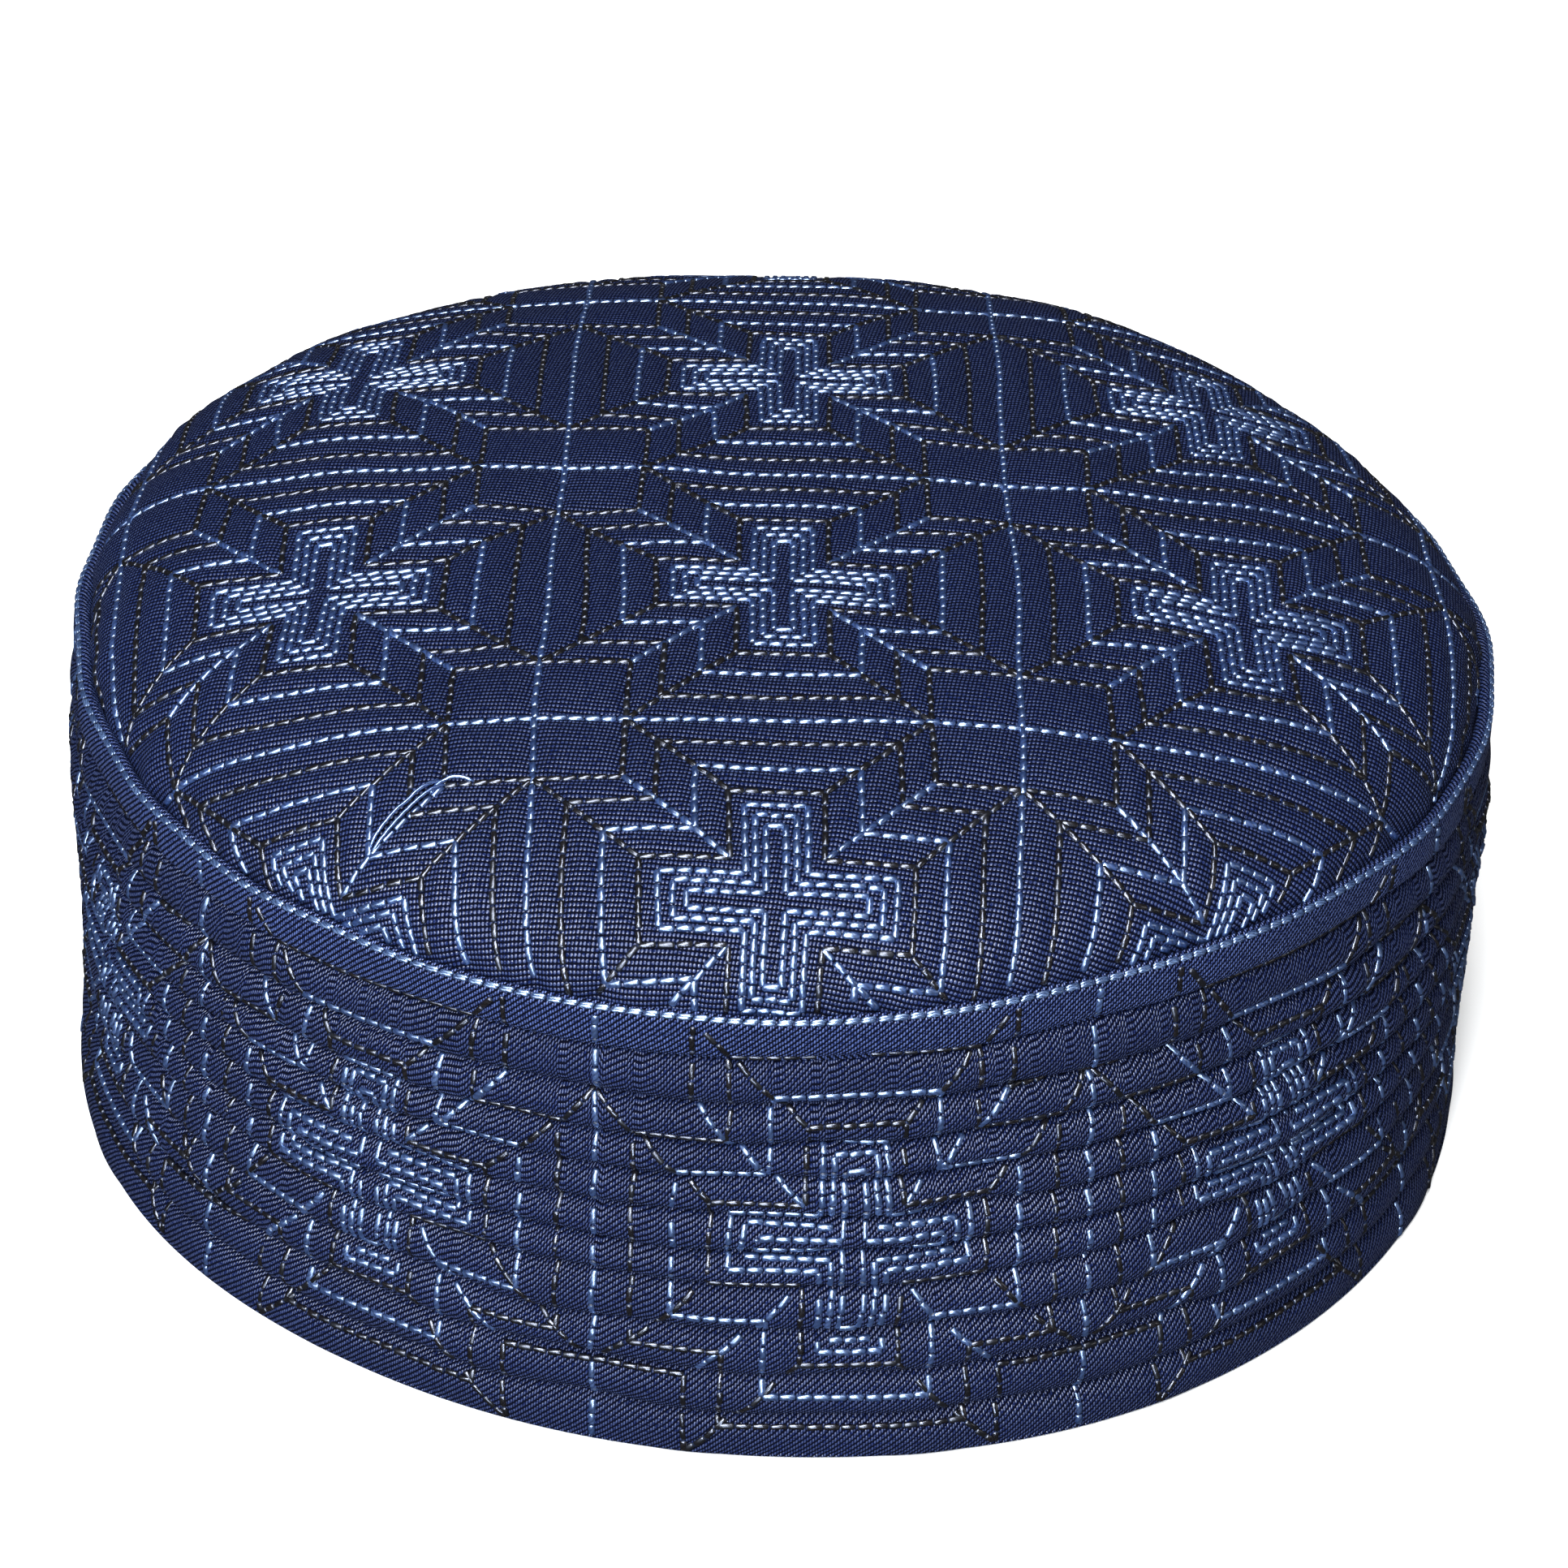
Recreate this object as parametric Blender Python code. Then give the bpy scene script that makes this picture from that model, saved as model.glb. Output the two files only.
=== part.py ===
"""A round quilted cloth cap, made of a domed top, a folded rim and a tucked side band.

Sizes are in millimetres and are turned into metres where the vertices are made.
+Z is up, the cap stands on its lower edge at z = 0, and -Y is the side that faces the viewer.
"""

import math
from collections import namedtuple

import bmesh
import bpy

MM = 0.001

# Driving sizes
RIM_HEIGHT = 65.4
WALL_THICKNESS = 2.6
CROWN_THICKNESS = 2.2
SEAM_GAP = 0.3
ROUND_SEGMENTS = 72

# The cap is soft and not quite round: one row for each upright section, 30 degrees apart.
# angle runs from +X towards +Y, rim_lift is above RIM_HEIGHT, and waist is how far the wall
# swells above its middle and draws in below it.
Section = namedtuple("Section", "angle rim_radius rim_lift waist base_radius")
SECTIONS = (
    Section(0, 93.5, -0.8, 0.4, 95.2),
    Section(30, 91.7, -0.2, 0.4, 95.0),
    Section(60, 92.1, 0.6, 0.4, 95.0),
    Section(90, 91.9, -0.2, 0.4, 95.2),
    Section(120, 93.0, 0.2, 0.5, 95.6),
    Section(150, 94.1, 1.5, 0.7, 95.9),
    Section(180, 92.8, 1.2, 0.8, 95.8),
    Section(210, 92.4, -0.5, 0.3, 95.7),
    Section(240, 92.7, -0.4, -0.3, 93.4),
    Section(270, 92.5, -0.4, -0.7, 93.3),
    Section(300, 91.5, 0.3, -0.5, 95.1),
    Section(330, 93.3, -0.3, 0.0, 95.8),
)

# Side band: heights of the creases under the rim strip and between the tucks, top to bottom
CREASE_HEIGHTS = (59.2, 52.3, 46.4, 41.5, 36.3, 31.1, 26.2, 19.6, 12.8, 6.2)
CREASE_DEPTH = 0.9
BELLY_DEPTH = 0.1
TUCK_LOWER_SHOULDER = 0.22
TUCK_UPPER_SHOULDER = 0.66
HEM_ROUNDING = 0.5
INNER_WALL_ROWS = 3

# Rim: the bead is narrow at the front, where the top puffs over it, and wide at the back
BEAD_WIDTH = 2.2
BEAD_WIDTH_CHANGE = 1.0
BEAD_CREST = 0.3
BEAD_SHOULDER = 0.9
BEAD_ROUNDING = 0.3
STRIP_FOOT = 1.0

# Top: a flat middle with puffed shoulders that drop steeply into the crease beside the bead
SHOULDER_RISE = 16.1
SHOULDER_POWER = 4.15
SHOULDER_PUFF = 0.39
MIDDLE_RISE = 3.6
FRONT_FULLNESS = 1.8
EDGE_DEPTH = 1.2
SKIRT_DEPTH = 3.2
OUTER_RINGS = (0.22, 0.42, 0.58, 0.7, 0.8, 0.87, 0.92, 0.955, 0.98, 0.993, 0.999, 1.0)
INNER_RINGS = (0.995, 0.97, 0.92, 0.84, 0.7, 0.5, 0.26)

NAVY = (0.012, 0.021, 0.075)
CLOTH_ROUGHNESS = 0.8
SMOOTH_ANGLE = math.radians(50)


def clear_scene():
    for item in list(bpy.data.objects):
        bpy.data.objects.remove(item, do_unlink=True)


def section_at(angle):
    """Blend the section table smoothly at an angle in radians."""
    step = 2 * math.pi / len(SECTIONS)
    position = (angle / step) % len(SECTIONS)
    index = int(position)
    part = position - index
    before, start, end, after = (SECTIONS[(index + offset) % len(SECTIONS)] for offset in (-1, 0, 1, 2))
    weights = (
        (-part + 2 * part**2 - part**3) / 2,
        (2 - 5 * part**2 + 3 * part**3) / 2,
        (part + 4 * part**2 - 3 * part**3) / 2,
        (-part**2 + part**3) / 2,
    )
    values = (
        sum(weight * row[column] for weight, row in zip(weights, (before, start, end, after)))
        for column in range(1, len(Section._fields))
    )
    return Section(math.degrees(angle), *values)


def rim_height(section):
    return RIM_HEIGHT + section.rim_lift


def wall_radius(section, height):
    """Outside radius of the wall at a height, before the tucks are cut into it."""
    down = 1 - height / rim_height(section)
    straight = section.rim_radius * (1 - down) + section.base_radius * down
    return straight + section.waist * math.sin(2 * math.pi * down)


def strip_height(section):
    """Height of the crease under the rim strip, which follows the rim up and down."""
    return CREASE_HEIGHTS[0] + section.rim_lift


def crease_height(section, height):
    """Creases near the rim follow it, and those near the hem stay level."""
    return height + section.rim_lift * height / RIM_HEIGHT


def bead_width(section):
    """Width of the bead, from narrow at the front to wide at the back."""
    return BEAD_WIDTH + BEAD_WIDTH_CHANGE * math.sin(math.radians(section.angle))


def tuck_rows():
    """Heights and depths of the outer face of the tucks, from the hem to the rim strip."""
    rows = []
    lower_edges = (0.0,) + CREASE_HEIGHTS[:0:-1]
    upper_edges = CREASE_HEIGHTS[::-1]
    for lower, upper in zip(lower_edges, upper_edges):
        span = upper - lower
        if lower > 0:
            rows.append((lower, CREASE_DEPTH))
            rows.append((lower + TUCK_LOWER_SHOULDER * span, BELLY_DEPTH))
        else:
            rows.append((HEM_ROUNDING, 0.0))
        rows.append((lower + TUCK_UPPER_SHOULDER * span, BELLY_DEPTH))
    return rows


def band_profile(section):
    """Closed outline of the side band: up the tucked outside and down the plain inside."""
    top = strip_height(section) - SEAM_GAP
    inside_top = wall_radius(section, top) - WALL_THICKNESS
    base = wall_radius(section, 0)
    outside = [(base - HEM_ROUNDING, 0.0)]
    for height, depth in tuck_rows():
        level = crease_height(section, height)
        outside.append((wall_radius(section, level) - depth, level))
    outside.append((wall_radius(section, top) - CREASE_DEPTH, top))
    inside = [(inside_top, top)]
    for row in range(1, INNER_WALL_ROWS + 1):
        level = top + (HEM_ROUNDING - top) * row / INNER_WALL_ROWS
        inside.append((wall_radius(section, level) - WALL_THICKNESS, level))
    inside.append((base - WALL_THICKNESS + HEM_ROUNDING, 0.0))
    return outside + inside


def rim_profile(section):
    """Closed outline of the folded rim: strip, shoulder, bead and inner face."""
    bottom = strip_height(section)
    top = rim_height(section)
    inside = section.rim_radius - bead_width(section)
    edge = section.rim_radius
    strip_middle = (bottom + top) / 2
    return [
        (wall_radius(section, bottom) - CREASE_DEPTH, bottom),
        (wall_radius(section, bottom + STRIP_FOOT) - BELLY_DEPTH, bottom + STRIP_FOOT),
        (wall_radius(section, strip_middle), strip_middle),
        (edge, top - BEAD_SHOULDER),
        (edge - BEAD_ROUNDING, top - BEAD_ROUNDING),
        (edge - bead_width(section) / 2, top + BEAD_CREST),
        (inside + BEAD_CREST, top),
        (inside, top - BEAD_SHOULDER),
        (inside, bottom),
    ]


def crown_height(section, share):
    """Height of the top's outer face at a share of the way from its middle to its edge."""
    edge = RIM_HEIGHT + section.rim_lift * share - EDGE_DEPTH
    shoulder = SHOULDER_RISE * (1 - share**SHOULDER_POWER) ** SHOULDER_PUFF
    middle = MIDDLE_RISE * (1 - share**2)
    fullness = -FRONT_FULLNESS * (1 - share**4) * share * math.sin(math.radians(section.angle))
    return edge + shoulder + middle + fullness


def crown_outline(section):
    """Outline of the top's section: outer face, skirt and inner face, from pole to pole."""
    outer_edge = section.rim_radius - bead_width(section) - SEAM_GAP
    inner_edge = outer_edge - CROWN_THICKNESS
    skirt = rim_height(section) - SKIRT_DEPTH
    points = [(outer_edge * share, crown_height(section, share)) for share in OUTER_RINGS]
    points.append((outer_edge, skirt))
    points.append((inner_edge, skirt))
    for share in INNER_RINGS:
        points.append((inner_edge * share, crown_height(section, share) - CROWN_THICKNESS))
    return points


def ring_angles():
    return [2 * math.pi * index / ROUND_SEGMENTS for index in range(ROUND_SEGMENTS)]


def plan_centre():
    """Middle of the cap's outline seen from above, so that the cap can stand on the origin."""
    across = []
    along = []
    for angle in ring_angles():
        section = section_at(angle)
        reach = max(radius for radius, _ in band_profile(section) + rim_profile(section))
        across.append(reach * math.cos(angle))
        along.append(reach * math.sin(angle))
    return (min(across) + max(across)) / 2, (min(along) + max(along)) / 2


def cloth_material(name):
    material = bpy.data.materials.new(name)
    material.use_nodes = True
    shader = material.node_tree.nodes["Principled BSDF"]
    shader.inputs["Base Color"].default_value = (*NAVY, 1.0)
    shader.inputs["Roughness"].default_value = CLOTH_ROUGHNESS
    shader.inputs["Metallic"].default_value = 0.0
    material.diffuse_color = (*NAVY, 1.0)
    return material


def add_object(name, mesh_data, material):
    mesh = bpy.data.meshes.new(name)
    bmesh.ops.recalc_face_normals(mesh_data, faces=mesh_data.faces)
    mesh_data.to_mesh(mesh)
    mesh_data.free()
    mesh.shade_smooth()
    mesh.set_sharp_from_angle(angle=SMOOTH_ANGLE)
    mesh.materials.append(material)
    item = bpy.data.objects.new(name, mesh)
    bpy.context.scene.collection.objects.link(item)
    return item


def place_columns(mesh_data, outline, centre):
    """Make one column of vertices for each direction round the cap."""
    columns = []
    for angle in ring_angles():
        points = outline(section_at(angle))
        columns.append([
            mesh_data.verts.new((
                (radius * math.cos(angle) - centre[0]) * MM,
                (radius * math.sin(angle) - centre[1]) * MM,
                height * MM,
            ))
            for radius, height in points
        ])
    return columns


def join_columns(mesh_data, columns, closed):
    """Fill the faces between neighbouring columns."""
    rows = len(columns[0])
    for here, there in zip(columns, columns[1:] + columns[:1]):
        for row in range(rows if closed else rows - 1):
            after = (row + 1) % rows
            mesh_data.faces.new((here[row], there[row], there[after], here[after]))


def make_ring(name, outline, centre):
    """A ring-shaped body whose section is a closed outline."""
    mesh_data = bmesh.new()
    columns = place_columns(mesh_data, outline, centre)
    join_columns(mesh_data, columns, closed=True)
    return add_object(name, mesh_data, cloth_material(name + "_cloth"))


def make_crown(centre):
    """The domed shell: columns from the outer middle, round the skirt, to the inner middle."""
    mesh_data = bmesh.new()
    columns = place_columns(mesh_data, crown_outline, centre)
    join_columns(mesh_data, columns, closed=False)
    middle = section_at(0.0)
    peak = crown_height(middle, 0.0)
    for row, height in ((0, peak), (-1, peak - CROWN_THICKNESS)):
        pole = mesh_data.verts.new((-centre[0] * MM, -centre[1] * MM, height * MM))
        for here, there in zip(columns, columns[1:] + columns[:1]):
            mesh_data.faces.new((pole, here[row], there[row]))
    return add_object("crown_top", mesh_data, cloth_material("crown_top_cloth"))


def main():
    clear_scene()
    centre = plan_centre()
    cap = bpy.data.objects.new("kufi", None)
    bpy.context.scene.collection.objects.link(cap)
    pieces = (
        make_ring("side_band", band_profile, centre),
        make_ring("rim_binding", rim_profile, centre),
        make_crown(centre),
    )
    for piece in pieces:
        piece.parent = cap


main()
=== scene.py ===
"""Looks of the quilted round cap: fine cloth, sewn ornament, materials, light and camera.

Sizes are in millimetres, and are turned into metres where a mesh is made. The frame is the
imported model's: +Z is up, the cap stands at z = 0, and -Y is the side that faces the viewer.
"""

import cmath
import math
from collections import namedtuple

import bpy
import numpy as np
from mathutils import Matrix, Vector


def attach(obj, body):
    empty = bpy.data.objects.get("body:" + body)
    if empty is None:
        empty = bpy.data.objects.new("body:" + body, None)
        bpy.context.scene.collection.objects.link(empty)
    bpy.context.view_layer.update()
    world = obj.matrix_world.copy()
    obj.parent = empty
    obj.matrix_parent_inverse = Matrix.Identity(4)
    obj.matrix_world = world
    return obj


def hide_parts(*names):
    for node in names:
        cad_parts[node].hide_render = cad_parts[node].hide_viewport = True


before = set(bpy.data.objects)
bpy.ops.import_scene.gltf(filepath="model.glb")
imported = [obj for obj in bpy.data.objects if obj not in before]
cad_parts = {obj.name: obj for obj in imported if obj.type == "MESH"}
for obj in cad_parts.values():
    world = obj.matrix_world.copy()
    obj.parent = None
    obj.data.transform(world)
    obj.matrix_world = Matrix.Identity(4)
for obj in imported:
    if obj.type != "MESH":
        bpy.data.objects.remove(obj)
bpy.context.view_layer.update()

MM = 0.001
TURN = 2 * math.pi

# The cap's own axis in the frame, whose origin is under the middle of the cap's outline
AXIS = (0.285, -0.722)

# Main sizes, the same as the solids'
RIM_HEIGHT = 65.4
WALL_THICKNESS = 2.6
CROWN_THICKNESS = 2.2
Section = namedtuple("Section", "angle rim_radius rim_lift waist base_radius")
SECTIONS = (
    Section(0, 93.5, -0.8, 0.4, 95.2),
    Section(30, 91.7, -0.2, 0.4, 95.0),
    Section(60, 92.1, 0.6, 0.4, 95.0),
    Section(90, 91.9, -0.2, 0.4, 95.2),
    Section(120, 93.0, 0.2, 0.5, 95.6),
    Section(150, 94.1, 1.5, 0.7, 95.9),
    Section(180, 92.8, 1.2, 0.8, 95.8),
    Section(210, 92.4, -0.5, 0.3, 95.7),
    Section(240, 92.7, -0.4, -0.3, 93.4),
    Section(270, 92.5, -0.4, -0.7, 93.3),
    Section(300, 91.5, 0.3, -0.5, 95.1),
    Section(330, 93.3, -0.3, 0.0, 95.8),
)
CREASE_HEIGHTS = (59.2, 52.3, 46.4, 41.5, 36.3, 31.1, 26.2, 19.6, 12.8, 6.2)
BEAD_WIDTH = 2.2
BEAD_WIDTH_CHANGE = 1.0
SHOULDER_RISE = 16.1
SHOULDER_POWER = 4.15
SHOULDER_PUFF = 0.39
MIDDLE_RISE = 3.6
FRONT_FULLNESS = 1.8
EDGE_DEPTH = 1.2
SKIRT_DEPTH = 3.2

STRIP = len(CREASE_HEIGHTS)
SEAM_GAP = 0.1

# Smooth random changes round the cap, from the slowest to the fastest number of waves in a turn
Ripple = namedtuple("Ripple", "seed strength slowest fastest")
CREASE_WANDER = Ripple(300, 0.22, 1, 34)
TUCK_UNEVENNESS = Ripple(400, 0.16, 2, 30)
TUCK_LEAN = Ripple(500, 0.45, 3, 26)
INSIDE_RIPPLE = Ripple(600, 0.08, 3, 20)
RIM_PUCKER = Ripple(12, 0.2, 40, 90)
BEAD_LUMPS = Ripple(41, 0.12, 10, 60)

# Smooth random changes over the flat crown
Swell = namedtuple("Swell", "seed strength wavelength")
SWELL_WAVES = 10
SWELL_STRETCH = (0.7, 1.6)
CROWN_UNEVENNESS = Swell(11, 0.16, 24.0)
LINES_WANDER_RIGHT = Swell(31, 0.22, 30.0)
LINES_WANDER_AWAY = Swell(32, 0.22, 30.0)

# Tucks of the side band
CREASE_DEPTH = 1.5
SLOT_DEPTH = 0.65
SLOT_WIDTH = 0.24
FULLEST_PART = 0.42
TUCK_ROUNDNESS = 2.0
STRIP_EASE = 0.6
STRIP_LEAN = 0.3
DEEPEST_INSET = 2.15
WALL_UNEVENNESS = 0.16
WALL_SWELL_SEED = 21
WALL_SWELL_WAVES = 12
WALL_SWELL_ORDERS = (8, 26)
WALL_SWELL_HEIGHT = 45.0

# Quilting: how deep the thread pulls the cloth in, and how far that reaches
CROWN_GROOVE_DEPTH = 0.26
CROWN_GROOVE_REACH = 0.8
CROWN_PAD_RISE = 0.24
CROWN_PAD_REACH = 2.6
BAND_GROOVE_DEPTH = 0.22
BAND_GROOVE_REACH = 0.6
PUCKER_REACH = 7.0
QUILTING_FADE = 2.0

# Where the ornament lies: a square tile with a cross in its middle. On the crown, a complex
# number holds a place, and the half tile's own one holds its size and its turn.
CROWN_TILE = 58.2
CROWN_TILE_REACH = 3
CROWN_TILE_START = -0.07 - 25.7j
CROWN_HALF_TILE = cmath.rect(CROWN_TILE / 2, math.radians(0.449))
BAND_TILES = 10
BAND_CROSS_ANGLE = math.radians(277.0)
BAND_HALF_TILE_HEIGHT = 32.15
BAND_MIDDLE_RADIUS = 94.0
BAND_HALF_TILE_WIDTH = BAND_MIDDLE_RADIUS * math.pi / BAND_TILES

# The band is eased in on the left of the front, so its lines lie a little further round there
SIDE_EASE = math.radians(-1.9)
SIDE_EASE_MIDDLE = math.radians(241.0)
SIDE_EASE_REACH = math.radians(38.0)

# Stitches of the two threads
LIGHT = "light"
MIXED = "mixed"
THICKNESS = {LIGHT: 1.0, MIXED: 0.92}
STITCH_SIDES = 6
STITCH_FLATNESS = 0.8
STITCH_PITCH = 1.92
STITCH_FILL = 0.98
STITCH_RADIUS = 0.48
RADIUS_RANGE = (0.88, 1.12)
STITCH_SLANT = 0.035
STITCH_SWAY = 0.05
LEAST_ROOM_AT_EDGE = 0.9
LEAST_HEIGHT = 0.6
HIDDEN_IN_CREASE = 0.2
SHORTEST_SHARE = 0.35
TIP_SHARPNESS = 2.0
TWIST_RANGE = 50
CROWN_STITCH_SEED = 70
BAND_STITCH_SEED = 80

# Edge stitching: two strands beside each other
RimStrand = namedtuple("RimStrand", "inward up")
RIM_STRANDS = (RimStrand(-0.13, -0.06), RimStrand(0.13, 0.1))
RIM_STITCH_SEED = 90
RIM_STITCH_PITCH = 1.95
RIM_STITCH_RADIUS = 0.2592
RIM_STITCH_LIFT = 0.12
RIM_STITCH_ROOM = 1.1
RIM_STITCH_SHIFT = 0.06
RIM_STITCH_SWAY = 0.03
RIM_RADIUS_RANGE = (0.9, 1.1)
RIM_SLANT = 0.02

# Mesh densities
CROWN_GRID = 272
BAND_COLUMNS = 640
RIM_COLUMNS = 900
BACK = math.radians(90)


def sections_at(angle):
    """Blend the section table smoothly at an array of angles in radians."""
    table = np.array([row[1:] for row in SECTIONS])
    position = np.mod(np.asarray(angle) / TURN, 1.0) * len(SECTIONS)
    index = np.floor(position).astype(int)
    part = (position - index)[..., None]
    weights = (
        (-part + 2 * part**2 - part**3) / 2,
        (2 - 5 * part**2 + 3 * part**3) / 2,
        (part + 4 * part**2 - 3 * part**3) / 2,
        (-part**2 + part**3) / 2,
    )
    rows = (table[(index + offset) % len(SECTIONS)] for offset in (-1, 0, 1, 2))
    values = sum(weight * row for weight, row in zip(weights, rows))
    return Section(angle, *np.moveaxis(values, -1, 0))


def ring_wave(angle, ripple, number=0):
    """A smooth random change round the ring, the same each run, and another one for each number."""
    draw = np.random.default_rng(ripple.seed + number)
    total = np.zeros_like(angle, dtype=float)
    for order in range(ripple.slowest, ripple.fastest + 1):
        total += draw.normal() * np.cos(order * angle + draw.uniform(0, TURN))
    return ripple.strength * total / math.sqrt((ripple.fastest - ripple.slowest + 1) / 2)


def tuck_wave(angle, tuck, ripple):
    """A change round the ring that is another one on each tuck."""
    waves = [ring_wave(angle, ripple, number) for number in range(STRIP + 1)]
    return np.take_along_axis(np.stack(waves, axis=-1), tuck[..., None], axis=-1)[..., 0]


def soft_noise(x, y, swell):
    """A smooth random change over a flat sheet, the same each run."""
    draw = np.random.default_rng(swell.seed)
    total = np.zeros_like(x, dtype=float)
    for _ in range(SWELL_WAVES):
        heading = draw.uniform(0, math.pi)
        length = swell.wavelength * draw.uniform(*SWELL_STRETCH)
        across = x * math.cos(heading) + y * math.sin(heading)
        total += np.cos(TURN * across / length + draw.uniform(0, TURN))
    return swell.strength * total / math.sqrt(SWELL_WAVES / 2)


def ring_points(angle, radius, height):
    """Points in the frame from an angle, a distance from the cap's axis and a height."""
    across = radius * np.cos(angle) + AXIS[0]
    away = radius * np.sin(angle) + AXIS[1]
    return np.stack([across, away, height], axis=-1)


def unit(vectors):
    return vectors / np.maximum(np.linalg.norm(vectors, axis=-1, keepdims=True), 1e-9)


def rim_height(section):
    return RIM_HEIGHT + section.rim_lift


def bead_width(section):
    return BEAD_WIDTH + BEAD_WIDTH_CHANGE * np.sin(section.angle)


def wall_radius(section, height):
    down = 1 - height / rim_height(section)
    straight = section.rim_radius * (1 - down) + section.base_radius * down
    return straight + section.waist * np.sin(TURN * down)


def crease_levels(angle):
    """Heights of the hem and of each crease above it, one row for each angle."""
    section = sections_at(angle)
    levels = [np.zeros_like(section.rim_lift)]
    for index, height in enumerate(CREASE_HEIGHTS[::-1]):
        wander = ring_wave(angle, CREASE_WANDER, index)
        levels.append(height + section.rim_lift * height / RIM_HEIGHT + wander)
    levels[-1] = CREASE_HEIGHTS[0] + section.rim_lift
    return np.stack(levels, axis=-1)


def tuck_place(angle, height):
    """Which tuck a point is on, how far up it, and how far from its lower and upper creases.
    The strip under the rim counts as the tuck above the last crease."""
    levels = crease_levels(angle)
    tuck = np.clip((height[..., None] >= levels).sum(axis=-1) - 1, 0, STRIP)
    lower = np.take_along_axis(levels, tuck[..., None], axis=-1)[..., 0]
    above = np.minimum(tuck + 1, STRIP)[..., None]
    upper = np.take_along_axis(levels, above, axis=-1)[..., 0]
    part = (height - lower) / np.maximum(upper - lower, 1.0)
    from_upper = np.where(tuck < STRIP, upper - height, np.inf)
    return tuck, part, height - lower, from_upper


def wall_depth(angle, height):
    """How far the tucked outer face lies inside the plain wall."""
    tuck, part, from_lower, from_upper = tuck_place(angle, height)
    rise = 1 - np.abs(1 - np.clip(part / FULLEST_PART, 0, 1)) ** TUCK_ROUNDNESS
    fall = 1 - np.clip((part - FULLEST_PART) / (1 - FULLEST_PART), 0, 1) ** TUCK_ROUNDNESS
    full = np.where(tuck == 0, 1.0, rise) * fall
    strip = 1 - np.exp(-from_lower / STRIP_EASE)
    full = np.where(tuck == STRIP, strip, full)
    depth = CREASE_DEPTH * (1 + tuck_wave(angle, tuck, TUCK_UNEVENNESS)) * (1 - full)
    nearest = np.where(tuck == 0, from_upper, np.minimum(from_lower, from_upper))
    return depth + SLOT_DEPTH * np.exp(-(nearest / SLOT_WIDTH) ** 2)


def wall_swell(angle, height):
    """Slow swells of the soft wall, which meet themselves again after one turn."""
    draw = np.random.default_rng(WALL_SWELL_SEED)
    total = np.zeros_like(angle + height, dtype=float)
    for _ in range(WALL_SWELL_WAVES):
        order = draw.integers(*WALL_SWELL_ORDERS)
        slant = draw.normal(0, TURN / WALL_SWELL_HEIGHT)
        total += np.cos(order * angle + slant * height + draw.uniform(0, TURN))
    return WALL_UNEVENNESS * total / math.sqrt(WALL_SWELL_WAVES / 2)


def wall_sheet(angle, height):
    """Distance from the axis to the outer face, with its tucks, quilting and unevenness."""
    line = band_line_distance(angle, height)
    pulled = BAND_GROOVE_DEPTH * np.exp(-(line / BAND_GROOVE_REACH) ** 2)
    inset = np.minimum(wall_depth(angle, height) - wall_swell(angle, height) + pulled, DEEPEST_INSET)
    return wall_radius(sections_at(angle), height) - inset


def wall_point(angle, height):
    return ring_points(angle, wall_sheet(angle, height), height)


def wall_frame(angle, height):
    """Point on the outer face and the direction out of it."""
    reach = 0.25
    turn = reach / BAND_MIDDLE_RADIUS
    along = wall_point(angle + turn, height) - wall_point(angle - turn, height)
    upward = wall_point(angle, height + reach) - wall_point(angle, height - reach)
    return wall_point(angle, height), unit(np.cross(along, upward))


def crown_height(section, share):
    edge = RIM_HEIGHT + section.rim_lift * share - EDGE_DEPTH
    shoulder = SHOULDER_RISE * (1 - share**SHOULDER_POWER) ** SHOULDER_PUFF
    fullness = -FRONT_FULLNESS * (1 - share**4) * share * np.sin(section.angle)
    return edge + shoulder + MIDDLE_RISE * (1 - share**2) + fullness


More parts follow.
